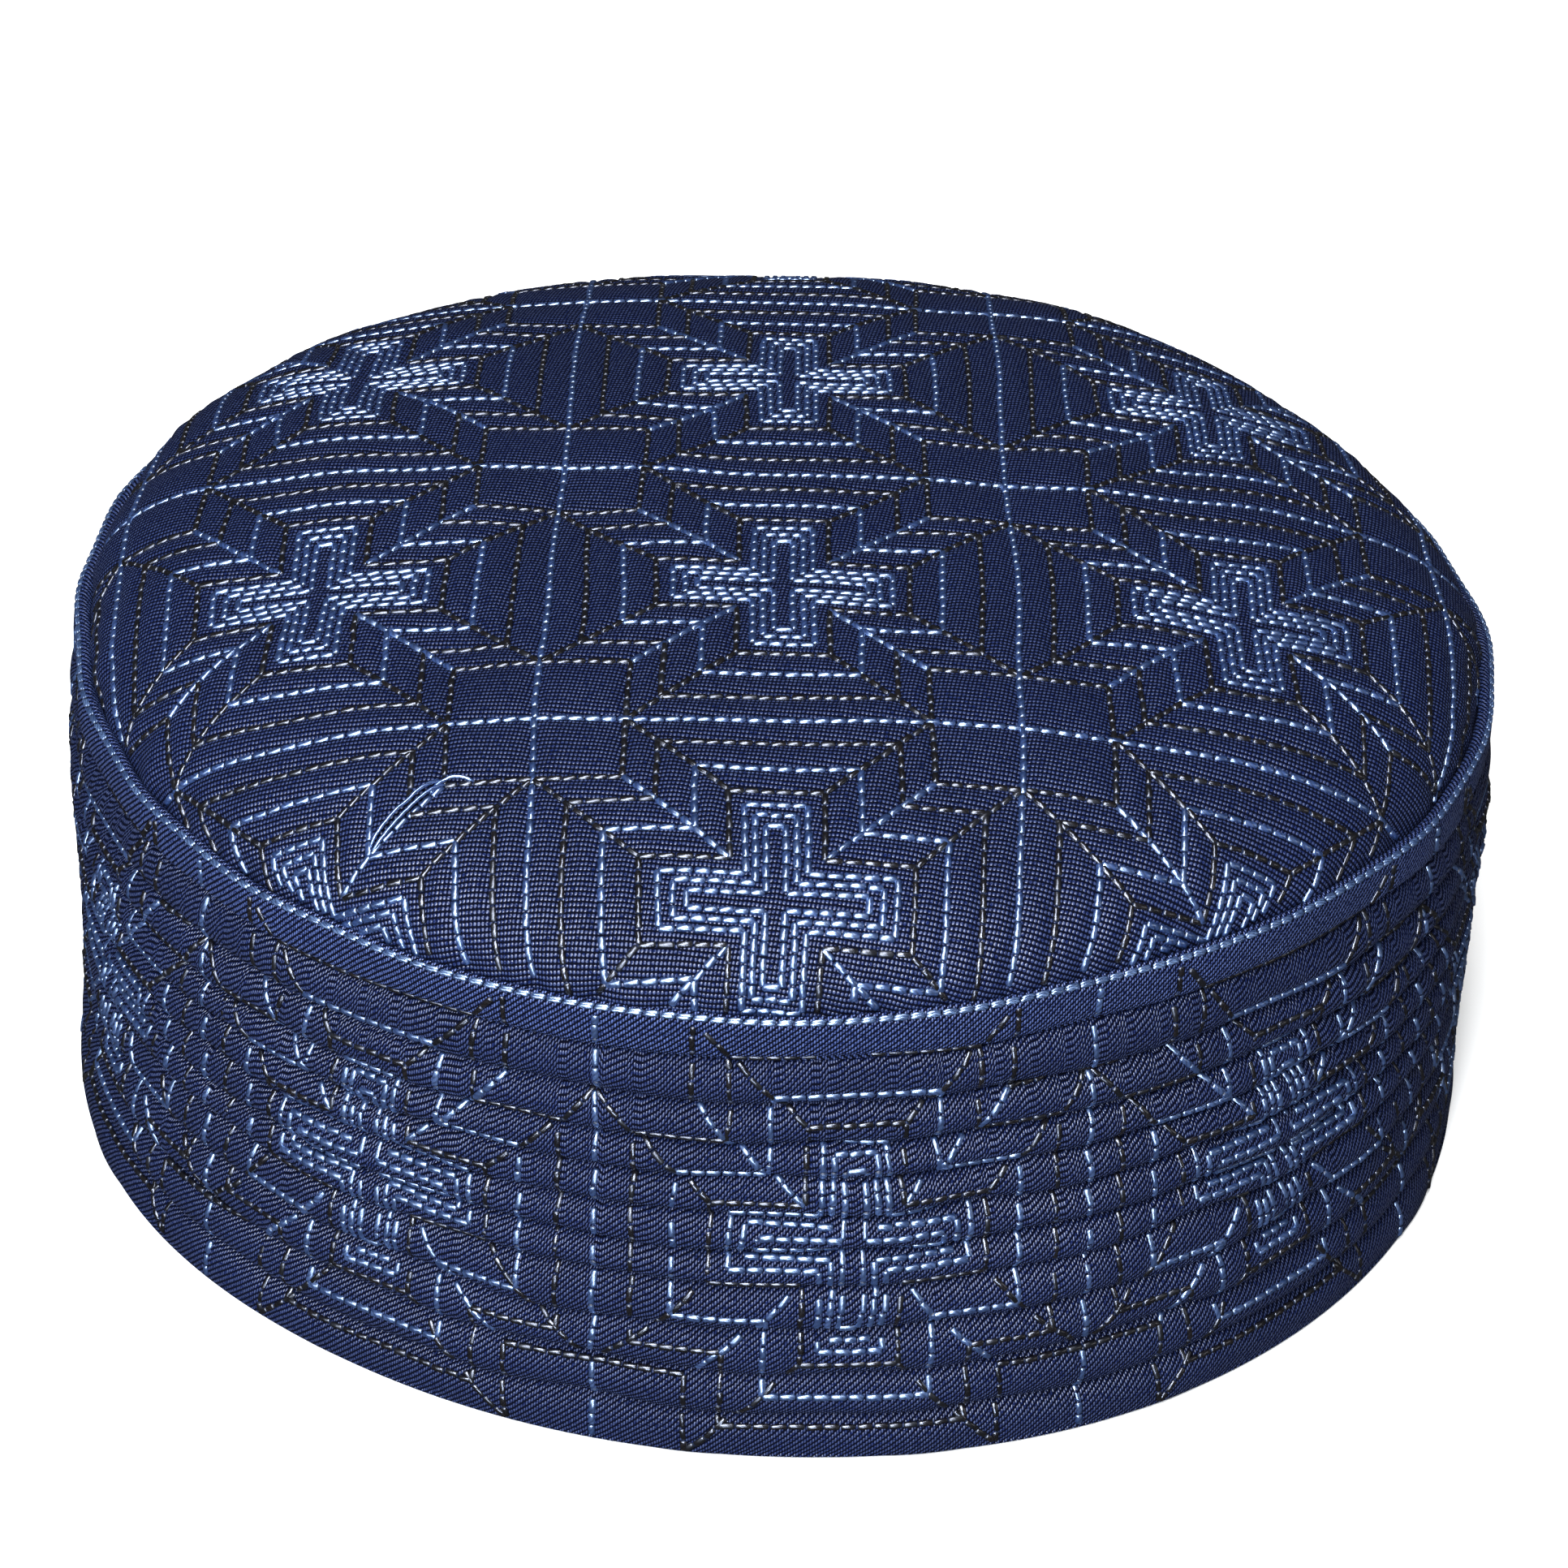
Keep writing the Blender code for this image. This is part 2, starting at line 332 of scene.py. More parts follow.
class CrownSheet:
    """The crown's outer face, laid flat: each flat point keeps its direction from the middle,
    and its distance from the middle is the distance along the cloth."""

    ANGLES = 720
    SHARES = 900
    STEPS = 420

    def __init__(self):
        angle = np.arange(self.ANGLES) * TURN / self.ANGLES
        share = 1 - (1 - np.linspace(0, 1, self.SHARES)) ** 3
        section = sections_at(angle[:, None] + 0 * share)
        edge = section.rim_radius - bead_width(section)
        radius = edge * share
        height = crown_height(section, share)
        steps = np.hypot(np.diff(radius, axis=1), np.diff(height, axis=1))
        length = np.concatenate([np.zeros((self.ANGLES, 1)), np.cumsum(steps, axis=1)], axis=1)
        even = np.linspace(0, 1, self.STEPS)
        self.reach = length[:, -1]
        self.radius = np.stack([np.interp(even * row[-1], row, r) for row, r in zip(length, radius)])
        self.height = np.stack([np.interp(even * row[-1], row, h) for row, h in zip(length, height)])

    def edge_distance(self, angle):
        """Distance along the cloth from the middle to the crease beside the bead."""
        whole_turn = np.arange(self.ANGLES + 1) * TURN / self.ANGLES
        return np.interp(np.mod(angle, TURN), whole_turn, np.append(self.reach, self.reach[0]))

    def look_up(self, table, angle, distance):
        column = np.mod(angle / TURN, 1.0) * self.ANGLES
        left = np.floor(column).astype(int)
        across = column - left
        row = np.clip(distance / self.edge_distance(angle), 0, 1) * (self.STEPS - 1)
        low = np.minimum(np.floor(row).astype(int), self.STEPS - 2)
        up = row - low
        left, right = left % self.ANGLES, (left + 1) % self.ANGLES
        near = table[left, low] * (1 - across) + table[right, low] * across
        far = table[left, low + 1] * (1 - across) + table[right, low + 1] * across
        return near * (1 - up) + far * up

    def plain(self, x, y):
        """Point of the smooth crown under a flat point."""
        angle = np.arctan2(y, x)
        distance = np.hypot(x, y)
        radius = self.look_up(self.radius, angle, distance)
        return ring_points(angle, radius, self.look_up(self.height, angle, distance))

    def outward(self, x, y):
        reach = 0.35
        distance = np.maximum(np.hypot(x, y), 1e-6)
        kept = np.minimum(distance, self.edge_distance(np.arctan2(y, x)) - 2 * reach) / distance
        x, y = x * kept, y * kept
        along = self.plain(x + reach, y) - self.plain(x - reach, y)
        away = self.plain(x, y + reach) - self.plain(x, y - reach)
        return unit(np.cross(along, away))

    def relief(self, x, y):
        """How far the quilting and the puckers lift the cloth off the smooth crown."""
        angle = np.arctan2(y, x)
        inside = self.edge_distance(angle) - np.hypot(x, y)
        line = crown_line_distance(x, y)
        groove = -CROWN_GROOVE_DEPTH * np.exp(-(line / CROWN_GROOVE_REACH) ** 2)
        padding = CROWN_PAD_RISE * (1 - np.exp(-(line / CROWN_PAD_REACH) ** 2))
        uneven = soft_noise(x, y, CROWN_UNEVENNESS)
        pucker = ring_wave(angle, RIM_PUCKER) * np.exp(-(inside / PUCKER_REACH) ** 2)
        return (groove + padding + uneven + pucker) * np.clip(inside / QUILTING_FADE, 0, 1)

    def frame_at(self, x, y):
        out = self.outward(x, y)
        return self.plain(x, y) + out * self.relief(x, y)[..., None], out


Plus = namedtuple("Plus", "arm_length half_width thread")
Line = namedtuple("Line", "start end thread")

# The tile, in half tiles from the middle of the cross: outlines of crosses, one inside another
PLUSES = (
    Plus(0.365, 0.04, LIGHT),
    Plus(0.42, 0.083, LIGHT),
    Plus(0.476, 0.125, LIGHT),
    Plus(0.55, 0.19, MIXED),
    Plus(0.69, 0.33, LIGHT),
    Plus(0.85, 0.49, MIXED),
)
CHEVRON_PLUS = PLUSES[3]
ARM_SIDE = 0.63
INNER_CORNER = 0.19


def eighth_lines():
    """Lines of the ornament in one eighth of the tile, where x >= y >= 0."""
    lines = []
    for plus in PLUSES:
        outer_corner = (plus.arm_length, plus.half_width)
        lines.append(Line((plus.arm_length, 0.0), outer_corner, plus.thread))
        lines.append(Line((plus.half_width, plus.half_width), outer_corner, plus.thread))
    lines.append(Line((ARM_SIDE, ARM_SIDE), (1.0, ARM_SIDE), MIXED))
    lines.append(Line((INNER_CORNER, INNER_CORNER), (ARM_SIDE, ARM_SIDE), LIGHT))
    lines.append(Line((CHEVRON_PLUS.arm_length, CHEVRON_PLUS.half_width), (1.0, ARM_SIDE), MIXED))
    lines.append(Line((1.0, 0.0), (1.0, 1.0), LIGHT))
    return lines


def folded(x, y):
    """Fold the whole ornament into one eighth of its tile."""
    x = np.abs(np.mod(x + 1, 2) - 1)
    y = np.abs(np.mod(y + 1, 2) - 1)
    return np.maximum(x, y), np.minimum(x, y)


def line_distance(x, y, x_size, y_size):
    """Distance from tile points to the nearest line. The sizes are those of half a tile."""
    a, b = folded(x, y)
    size = (x_size + y_size) / 2
    nearest = np.full_like(a, np.inf)
    for line in eighth_lines():
        from_start = (a - line.start[0], b - line.start[1])
        run = (line.end[0] - line.start[0], line.end[1] - line.start[1])
        share = (from_start[0] * run[0] + from_start[1] * run[1]) / (run[0] ** 2 + run[1] ** 2)
        share = np.clip(share, 0, 1)
        away = np.hypot(from_start[0] - share * run[0], from_start[1] - share * run[1])
        nearest = np.minimum(nearest, away)
    return nearest * size


def crown_wander(x, y):
    """Sewn lines wander a little over the crown."""
    return soft_noise(x, y, LINES_WANDER_RIGHT), soft_noise(x, y, LINES_WANDER_AWAY)


def crown_from_tile(i, j):
    """Flat crown point of a tile point, in half tiles from the middle of the first cross."""
    flat = (i + 1j * j) * CROWN_HALF_TILE + CROWN_TILE_START
    right, away = crown_wander(flat.real, flat.imag)
    return flat.real + right, flat.imag + away


def crown_line_distance(x, y):
    right, away = crown_wander(x, y)
    tile = (x - right + 1j * (y - away) - CROWN_TILE_START) / CROWN_HALF_TILE
    return line_distance(tile.real, tile.imag, CROWN_TILE / 2, CROWN_TILE / 2)


def tuck_lean(angle, height):
    """The cloth shifts sideways a little in each tuck, so upright lines are broken at the creases."""
    tuck, part, _, _ = tuck_place(angle, height)
    lean = tuck_wave(angle, tuck, TUCK_LEAN)
    lean = np.where(tuck == STRIP, STRIP_LEAN * lean, lean)
    return lean * (np.clip(part, 0, 1) - 0.5)


# The tucks take up some cloth, so the ornament's lines lie at these heights on the band
ChartHeight = namedtuple("ChartHeight", "chart height")
CHART_HEIGHTS = (
    ChartHeight(-1.0, 0.4),
    ChartHeight(-0.85, 4.7),
    ChartHeight(-0.69, 9.9),
    ChartHeight(-0.55, 15.2),
    ChartHeight(-0.42, 18.5),
    ChartHeight(-0.19, 26.9),
    ChartHeight(-0.125, 29.1),
    ChartHeight(-0.04, 31.6),
    ChartHeight(0.04, 33.6),
    ChartHeight(0.125, 36.7),
    ChartHeight(0.19, 38.5),
    ChartHeight(0.365, 43.5),
    ChartHeight(0.42, 45.5),
    ChartHeight(0.476, 46.8),
    ChartHeight(0.55, 49.7),
    ChartHeight(0.69, 54.0),
    ChartHeight(0.85, 59.6),
    ChartHeight(1.0, 65.2),
)


def chart_to_height(angle, chart):
    places, heights = zip(*CHART_HEIGHTS)
    height = np.interp(chart, places, heights)
    return height + sections_at(angle).rim_lift * height / RIM_HEIGHT


def height_to_chart(angle, height):
    places, heights = zip(*CHART_HEIGHTS)
    lift = sections_at(angle).rim_lift
    return np.interp(height * RIM_HEIGHT / (RIM_HEIGHT + lift), heights, places)


def side_ease(angle):
    off = np.mod(angle - SIDE_EASE_MIDDLE + math.pi, TURN) - math.pi
    return SIDE_EASE * np.cos(np.clip(off / SIDE_EASE_REACH, -1, 1) * math.pi / 2)


def band_from_tile(i, j):
    """Angle and height on the band of a tile point, in half tiles from the front cross's middle."""
    angle = BAND_CROSS_ANGLE + i * math.pi / BAND_TILES
    angle = angle + side_ease(angle)
    height = chart_to_height(angle, j)
    return angle + tuck_lean(angle, height) / BAND_MIDDLE_RADIUS, height


def band_line_distance(angle, height):
    shifted = angle - tuck_lean(angle, height) / BAND_MIDDLE_RADIUS
    shifted = shifted - side_ease(shifted - side_ease(shifted))
    i = (shifted - BAND_CROSS_ANGLE) * BAND_TILES / math.pi
    j = height_to_chart(angle, height)
    return line_distance(i, j, BAND_HALF_TILE_WIDTH, BAND_HALF_TILE_HEIGHT)


def make_mesh(name, points, faces, corner_uvs, uv_name):
    """A smooth mesh from millimetre points, with one UV for each corner of each face."""
    mesh = bpy.data.meshes.new(name)
    mesh.from_pydata((points * MM).tolist(), [], faces)
    layer = mesh.uv_layers.new(name=uv_name)
    layer.data.foreach_set("uv", np.asarray(corner_uvs, np.float32).ravel())
    mesh.shade_smooth()
    item = bpy.data.objects.new(name, mesh)
    bpy.context.scene.collection.objects.link(item)
    return item


def grid_faces(rows, columns, ring):
    """Four-sided faces between neighbouring rows and columns of points numbered row by row."""
    row = np.arange(rows - 1)[:, None]
    column = np.arange(columns if ring else columns - 1)[None, :]
    beside = (column + 1) % columns
    here = row * columns + column
    aside = row * columns + beside
    return np.stack([here, aside, aside + columns, here + columns], axis=-1).reshape(-1, 4)


def ring_uvs(rows, columns, around, up):
    """UVs for the faces of a ring, whose last column meets its first at the back seam."""
    column = np.arange(columns)
    u = np.append(around, around[0] + (around[1] - around[0]) * columns)
    left = np.broadcast_to(u[column], (rows - 1, columns))
    right = np.broadcast_to(u[column + 1], (rows - 1, columns))
    beside = (column + 1) % columns
    corners = [
        (left, up[:-1, column]),
        (right, up[:-1, beside]),
        (right, up[1:, beside]),
        (left, up[1:, column]),
    ]
    return np.stack([np.stack(corner, axis=-1) for corner in corners], axis=2).reshape(-1, 2)


def lengths_up(points):
    """Distance along each column of points from its first row."""
    steps = np.linalg.norm(np.diff(points, axis=0), axis=-1)
    return np.concatenate([np.zeros((1, points.shape[1])), np.cumsum(steps, axis=0)])


def make_ring(name, points, angles):
    """A closed ring from rows of points that run once round its section."""
    rows, columns = points.shape[:2]
    closed = np.concatenate([points, points[:1]])
    up = lengths_up(closed)
    faces = grid_faces(rows + 1, columns, ring=True) % (rows * columns)
    uvs = ring_uvs(rows + 1, columns, angles * BAND_MIDDLE_RADIUS, up)
    return make_mesh(name, points.reshape(-1, 3), faces.tolist(), uvs, "weave")


def ring_angles(columns):
    """Directions round the cap, from the back seam and round."""
    return BACK + np.arange(columns) * TURN / columns


TUCK_PARTS = (0.0, 0.045, 0.11, 0.2, 0.3, 0.41, 0.53, 0.65, 0.77, 0.88, 0.955)
HEM_PARTS = (0.04, 0.1, 0.2, 0.3, 0.41, 0.53, 0.65, 0.77, 0.88, 0.955)
HEM_TURN = 0.6
BAND_INSIDE_ROWS = 14


def make_side_band():
    """The tucked wall: up the outside, then down the plain inside to the turned hem."""
    angle = ring_angles(BAND_COLUMNS)
    levels = crease_levels(angle)
    section = sections_at(angle)
    heights = []
    for tuck in range(STRIP):
        for part in HEM_PARTS if tuck == 0 else TUCK_PARTS:
            heights.append(levels[:, tuck] * (1 - part) + levels[:, tuck + 1] * part)
    top = levels[:, -1] - SEAM_GAP
    heights.append(top)
    rows = [wall_point(angle, height) for height in heights]
    base = wall_radius(section, 0 * angle)
    hem = ring_points(angle, base - HEM_TURN / 4, 0 * angle + HEM_TURN / 4)
    sole = ring_points(angle, base - HEM_TURN, 0 * angle)
    inner = []
    for step in range(BAND_INSIDE_ROWS + 1):
        level = top + (HEM_TURN - top) * step / BAND_INSIDE_ROWS
        ripple = ring_wave(angle, INSIDE_RIPPLE, step)
        radius = wall_radius(section, level) - WALL_THICKNESS + ripple
        inner.append(ring_points(angle, radius, level))
    inner_sole = ring_points(angle, base - WALL_THICKNESS + HEM_TURN, 0 * angle)
    points = np.stack([sole, hem, *rows, *inner, inner_sole])
    return make_ring("side_band_cloth", points, angle)


STRIP_ROWS = (0.0, 0.15, 0.35, 0.65, 1.05, 1.6, 2.3, 3.1, 3.9, 4.5)
RimRow = namedtuple("RimRow", "inward down")
EDGE_ROWS = (RimRow(0.02, 0.95), RimRow(0.1, 0.6))
SEAM_DIP = RimRow(0.42, 0.22)
SCALLOP = 0.07
BEAD_ROWS = 7
BEAD_CREST = 0.45
BEAD_START = 0.12
BEAD_SINK = 0.05
INNER_FACE_DEPTHS = (0.3, 1.1, 2.6, 4.6)


def bead_rows(angle, edge, top, width):
    """Rows of points over the round bead, from the edge stitching inwards."""
    rows = []
    lumps = 1 + ring_wave(angle, BEAD_LUMPS)
    start = SEAM_DIP.inward + BEAD_START
    for step in range(BEAD_ROWS):
        share = (step + 0.5) / BEAD_ROWS
        arch = np.sin(math.pi * (BEAD_START + (1 - BEAD_START) * share))
        rise = BEAD_CREST * lumps * arch - BEAD_SINK
        rows.append(ring_points(angle, edge - start - (width - start) * share, top + rise))
    return rows


def make_rim():
    """The folded rim: smooth strip, the dip of its edge stitching, the bead and the inner face."""
    angle = ring_angles(RIM_COLUMNS)
    section = sections_at(angle)
    bottom = crease_levels(angle)[:, -1] + SEAM_GAP
    top = rim_height(section)
    edge = section.rim_radius + wall_swell(angle, top)
    width = bead_width(section)
    rows = [wall_point(angle, bottom + rise) for rise in STRIP_ROWS]
    for inward, down in EDGE_ROWS:
        rows.append(ring_points(angle, edge - inward, top - down))
    scallop = SCALLOP * np.cos(TURN * angle * BAND_MIDDLE_RADIUS / RIM_STITCH_PITCH)
    rows.append(ring_points(angle, edge - SEAM_DIP.inward - scallop, top - SEAM_DIP.down - scallop))
    rows += bead_rows(angle, edge, top, width)
    inside = section.rim_radius - width
    for down in INNER_FACE_DEPTHS:
        rows.append(ring_points(angle, inside, top - down))
    rows.append(ring_points(angle, inside, bottom))
    return make_ring("rim_cloth", np.stack(rows), angle)


def disc_grid(count):
    """A square grid of points bent into a disc: direction and share of the way to the edge."""
    line = np.linspace(-1, 1, count + 1)
    a, b = np.meshgrid(line, line)
    wide = np.abs(a) > np.abs(b)
    safe_a = np.where(a == 0, 1.0, a)
    safe_b = np.where(b == 0, 1.0, b)
    sideways = math.pi / 4 * b / safe_a + np.where(a < 0, math.pi, 0)
    upright = math.pi / 2 - math.pi / 4 * a / safe_b + np.where(b < 0, math.pi, 0)
    angle = np.where(wide, sideways, upright)
    return angle, np.maximum(np.abs(a), np.abs(b))


def border_loop(count):
    """Point numbers round the edge of the square grid, in order."""
    side = count + 1
    low = list(range(count))
    right = [row * side + count for row in range(count)]
    high = [count * side + count - column for column in range(count)]
    left = [(count - row) * side for row in range(count)]
    return np.array(low + right + high + left)


CROWN_INSIDE_SHARES = (1.0, 0.99, 0.965, 0.92, 0.84, 0.7, 0.5, 0.26)
CROWN_EDGE_GAP = 0.15


def crown_rings(around):
    """Rings of points down the skirt behind the bead, then over the plain inner face."""
    section = sections_at(around)
    edge = section.rim_radius - bead_width(section)
    skirt = rim_height(section) - SKIRT_DEPTH
    inner_edge = edge - CROWN_THICKNESS
    rings = [
        ring_points(around, edge - CROWN_EDGE_GAP, (rim_height(section) - EDGE_DEPTH + skirt) / 2),
        ring_points(around, edge - CROWN_EDGE_GAP, skirt),
        ring_points(around, inner_edge, skirt),
    ]
    for share in CROWN_INSIDE_SHARES:
        height = crown_height(section, share) - CROWN_THICKNESS
        rings.append(ring_points(around, inner_edge * share, height))
    return rings


def ring_strips(numbers):
    """Four-sided faces between neighbouring rings of point numbers."""
    strips = []
    for low, high in zip(numbers[:-1], numbers[1:]):
        strips.append(np.stack([np.roll(low, -1), low, high, np.roll(high, -1)], axis=-1))
    return np.concatenate(strips)


def make_crown(sheet):
    """The quilted top: fine outer face, skirt behind the bead, and plain inner face."""
    angle, share = disc_grid(CROWN_GRID)
    distance = share * sheet.edge_distance(angle)
    x = (distance * np.cos(angle)).ravel()
    y = (distance * np.sin(angle)).ravel()
    outer, _ = sheet.frame_at(x, y)
    faces = grid_faces(CROWN_GRID + 1, CROWN_GRID + 1, ring=False)

    loop = border_loop(CROWN_GRID)
    rings = crown_rings(angle.ravel()[loop])
    middle = np.array([0.0])
    pole = ring_points(middle, middle, crown_height(sections_at(middle), 0.0) - CROWN_THICKNESS)
    points = np.concatenate([outer, *rings, pole])

    columns = len(loop)
    starts = (len(outer) + columns * index for index in range(len(rings)))
    numbers = [loop] + [start + np.arange(columns) for start in starts]
    strips = ring_strips(numbers)
    last = numbers[-1]
    fan = np.stack([np.roll(last, -1), last, np.full(columns, len(points) - 1)], axis=-1)

    hidden = points[len(outer):, :2] - np.array(AXIS)
    flat = np.concatenate([np.stack([x, y], axis=-1), hidden])
    uvs = np.concatenate([flat[faces.ravel()], flat[strips.ravel()], flat[fan.ravel()]])
    all_faces = faces.tolist() + strips.tolist() + fan.tolist()
    return make_mesh("crown_cloth", points, all_faces, uvs, "weave")


Stitches = namedtuple("Stitches", "start end out radius tone")

# A stitch is drawn by rings: share of the length from its end, and width and lift in radii
StitchRing = namedtuple("StitchRing", "share width lift")


def whole_stitch(*rings):
    """The rings of a whole stitch, whose second half mirrors the given first one."""
    return rings + tuple(ring._replace(share=1 - ring.share) for ring in reversed(rings))


STITCH_RINGS = whole_stitch(
    StitchRing(0.0, 0.0, -0.5),
    StitchRing(0.05, 0.82, 0.0),
    StitchRing(0.15, 1.0, 0.08),
)
RIM_STITCH_RINGS = whole_stitch(
    StitchRing(0.0, 0.0, -0.4),
    StitchRing(0.07, 0.66, 0.0),
    StitchRing(0.25, 1.0, 0.1),
)


def join_stitches(groups):
    return Stitches(*(np.concatenate(column) for column in zip(*groups)))


def stitch_points(stitches, rings):
    """Points of the stitches, with a row for each stitch."""
    run = stitches.end - stitches.start
    along = unit(run)
    side = unit(np.cross(along, stitches.out))
    up = np.cross(side, along)
    turn = np.arange(STITCH_SIDES) * TURN / STITCH_SIDES
    circle = side[:, None] * np.cos(turn)[None, :, None]
    circle = circle + STITCH_FLATNESS * up[:, None] * np.sin(turn)[None, :, None]
    points = []
    for ring in rings:
        middle = stitches.start + run * ring.share + up * (ring.lift * stitches.radius)[:, None]
        if ring.width == 0:
            points.append(middle[:, None])
        else:
            spread = (ring.width * stitches.radius)[:, None, None]
            points.append(middle[:, None] + circle * spread)
    return np.concatenate(points, axis=1)


def stitch_faces(inner_rings):
    """Point numbers of one stitch: triangles at both ends, and four-sided faces between them."""
    around = np.arange(STITCH_SIDES)
    beside = (around + 1) % STITCH_SIDES
    last_point = 1 + inner_rings * STITCH_SIDES
    last_ring = last_point - STITCH_SIDES
    start_fan = [np.zeros(STITCH_SIDES, int), 1 + around, 1 + beside]
    end_fan = [np.full(STITCH_SIDES, last_point), last_ring + beside, last_ring + around]
    fans = np.concatenate([np.stack(fan, axis=-1) for fan in (start_fan, end_fan)])
    sides = []
    for low in range(1, last_ring, STITCH_SIDES):
        high = low + STITCH_SIDES
        sides.append(np.stack([low + around, high + around, high + beside, low + beside], axis=-1))
    return fans, np.concatenate(sides)


def thread_uvs(faces, along, around):
    """Places along and round the thread, for each face corner of each stitch in turn."""
    corner_along = along[:, faces]
    corner_around = around[faces]
    past_seam = corner_around.max(axis=-1, keepdims=True) - corner_around > 0.6
    corner_around = np.where(past_seam, corner_around + 1, corner_around)
    corner_around = np.broadcast_to(corner_around, corner_along.shape)
    return np.stack([corner_along, corner_around], axis=-1).reshape(-1, 2)


def add_values(item, label, values):
    """Give each point of a mesh a number that its material reads."""
    layer = item.data.attributes.new(label, "FLOAT", "POINT")
    layer.data.foreach_set("value", values.astype(np.float32))


def make_stitches(name, stitches, rings=STITCH_RINGS):
    """Each stitch is a small closed form of thread whose ends dip into the cloth."""
    points = stitch_points(stitches, rings)
    count, per_stitch = points.shape[:2]
    inner_shares = [ring.share for ring in rings[1:-1]]
    fans, sides = stitch_faces(len(inner_shares))
    offset = (np.arange(count) * per_stitch)[:, None, None]
    triangles = (fans[None] + offset).reshape(-1, 3)
    quads = (sides[None] + offset).reshape(-1, 4)

    twist = np.random.default_rng(len(name) + count).uniform(0, TWIST_RANGE, count)
    length = np.linalg.norm(stitches.end - stitches.start, axis=1)
    share = np.concatenate([[0], np.repeat(inner_shares, STITCH_SIDES), [1]])
    along = share[None] * length[:, None] + twist[:, None]
    turn = np.tile(np.arange(STITCH_SIDES) / STITCH_SIDES, len(inner_shares))
    around = np.concatenate([[0], turn, [0]])
    uvs = np.concatenate([thread_uvs(fans, along, around), thread_uvs(sides, along, around)])
    item = make_mesh(name, points.reshape(-1, 3), triangles.tolist() + quads.tolist(), uvs, "thread")
    at_end = np.arange(len(triangles) + len(quads)) < len(triangles)
    item.data.polygons.foreach_set("material_index", at_end.astype(np.int32))
    add_values(item, "tone", np.repeat(stitches.tone, per_stitch))
    add_values(item, "tip", np.tile(np.abs(2 * share - 1) ** TIP_SHARPNESS, count))
    return item


def quarter_lines():
    """The eighth, mirrored: lines in the quarter of the tile where x and y are 0 or more."""
    lines = []
    for line in eighth_lines():
        lines.append(line)
        if line.start[0] != line.start[1] or line.end[0] != line.end[1]:
            lines.append(Line(line.start[::-1], line.end[::-1], line.thread))
    return lines


def tile_lines():
    """Every line of one tile. The outer ones are sewn once, on its right and far sides only."""
    lines = []
    for line in quarter_lines():
        on_right = line.start[0] == 1.0 and line.end[0] == 1.0
        on_far = line.start[1] == 1.0 and line.end[1] == 1.0
        from_axis_y = line.start[1] == 0.0
        from_axis_x = line.start[0] == 0.0
        for across in (1, -1):
            for away in (1, -1):
                if (on_right and across < 0) or (on_far and away < 0):
                    continue
                if (from_axis_y and away < 0) or (from_axis_x and across < 0):
                    continue
                start, end = line.start, line.end
                if from_axis_y:
                    start = (start[0], -end[1])
                if from_axis_x:
                    start = (-end[0], start[1])
                first = (start[0] * across, start[1] * away)
                last = (end[0] * across, end[1] * away)
                lines.append(Line(first, last, line.thread))
    return lines


def sew(lines, origins, half_sizes):
    """Cut the lines of each tile into stitches: tile points of their starts and ends, by thread."""
    sewn = {LIGHT: [], MIXED: []}
    for line in lines:
        start, end = np.array(line.start), np.array(line.end)
        length = math.hypot(*((end - start) * np.array(half_sizes)))
        count = max(1, round(length / STITCH_PITCH))
        gap = (1 - STITCH_FILL) / 2
        first = (np.arange(count) + gap) / count
        last = (np.arange(count) + 1 - gap) / count
        heads = start + (end - start) * first[:, None]
        tails = start + (end - start) * last[:, None]
        for origin in origins:
            sewn[line.thread].append(np.stack([heads + origin, tails + origin], axis=1))
    return {thread: np.concatenate(parts) for thread, parts in sewn.items()}


def lay_stitches(ends, place, seed, radius):
    """Set stitches on the cloth, each a little uneven. place gives a point and the way outward."""
    draw = np.random.default_rng(seed)
    count = len(ends)
    sway = draw.normal(0, STITCH_SWAY, (count, 2, 2))
    start, out_start = place(ends[:, 0], sway[:, 0])
    end, out_end = place(ends[:, 1], sway[:, 1])
    out = unit(out_start + out_end)
    aside = STITCH_SLANT * unit(np.cross(end - start, out))
    start, end = start + aside, end - aside
    radii = radius * draw.uniform(*RADIUS_RANGE, count)
    return Stitches(start, end, out, radii, draw.uniform(0, 1, count))


def crown_stitches(sheet):
    """Stitches of the crown's ornament, for each thread."""
    reach = range(-CROWN_TILE_REACH, CROWN_TILE_REACH + 1)
    origins = [np.array((2.0 * i, 2.0 * j)) for i in reach for j in reach]
    sewn = sew(tile_lines(), origins, (CROWN_TILE / 2, CROWN_TILE / 2))

    def place(ends, sway):
        x, y = crown_from_tile(ends[:, 0], ends[:, 1])
        return sheet.frame_at(x + sway[:, 0], y + sway[:, 1])

    made = {}
    for seed, thread in enumerate((LIGHT, MIXED), CROWN_STITCH_SEED):
        ends = sewn[thread]
        x, y = crown_from_tile(ends[..., 0], ends[..., 1])
        room = sheet.edge_distance(np.arctan2(y, x)) - np.hypot(x, y)
        ends = ends[room.min(axis=1) > LEAST_ROOM_AT_EDGE]
        made[thread] = lay_stitches(ends, place, seed, STITCH_RADIUS * THICKNESS[thread])
    return made


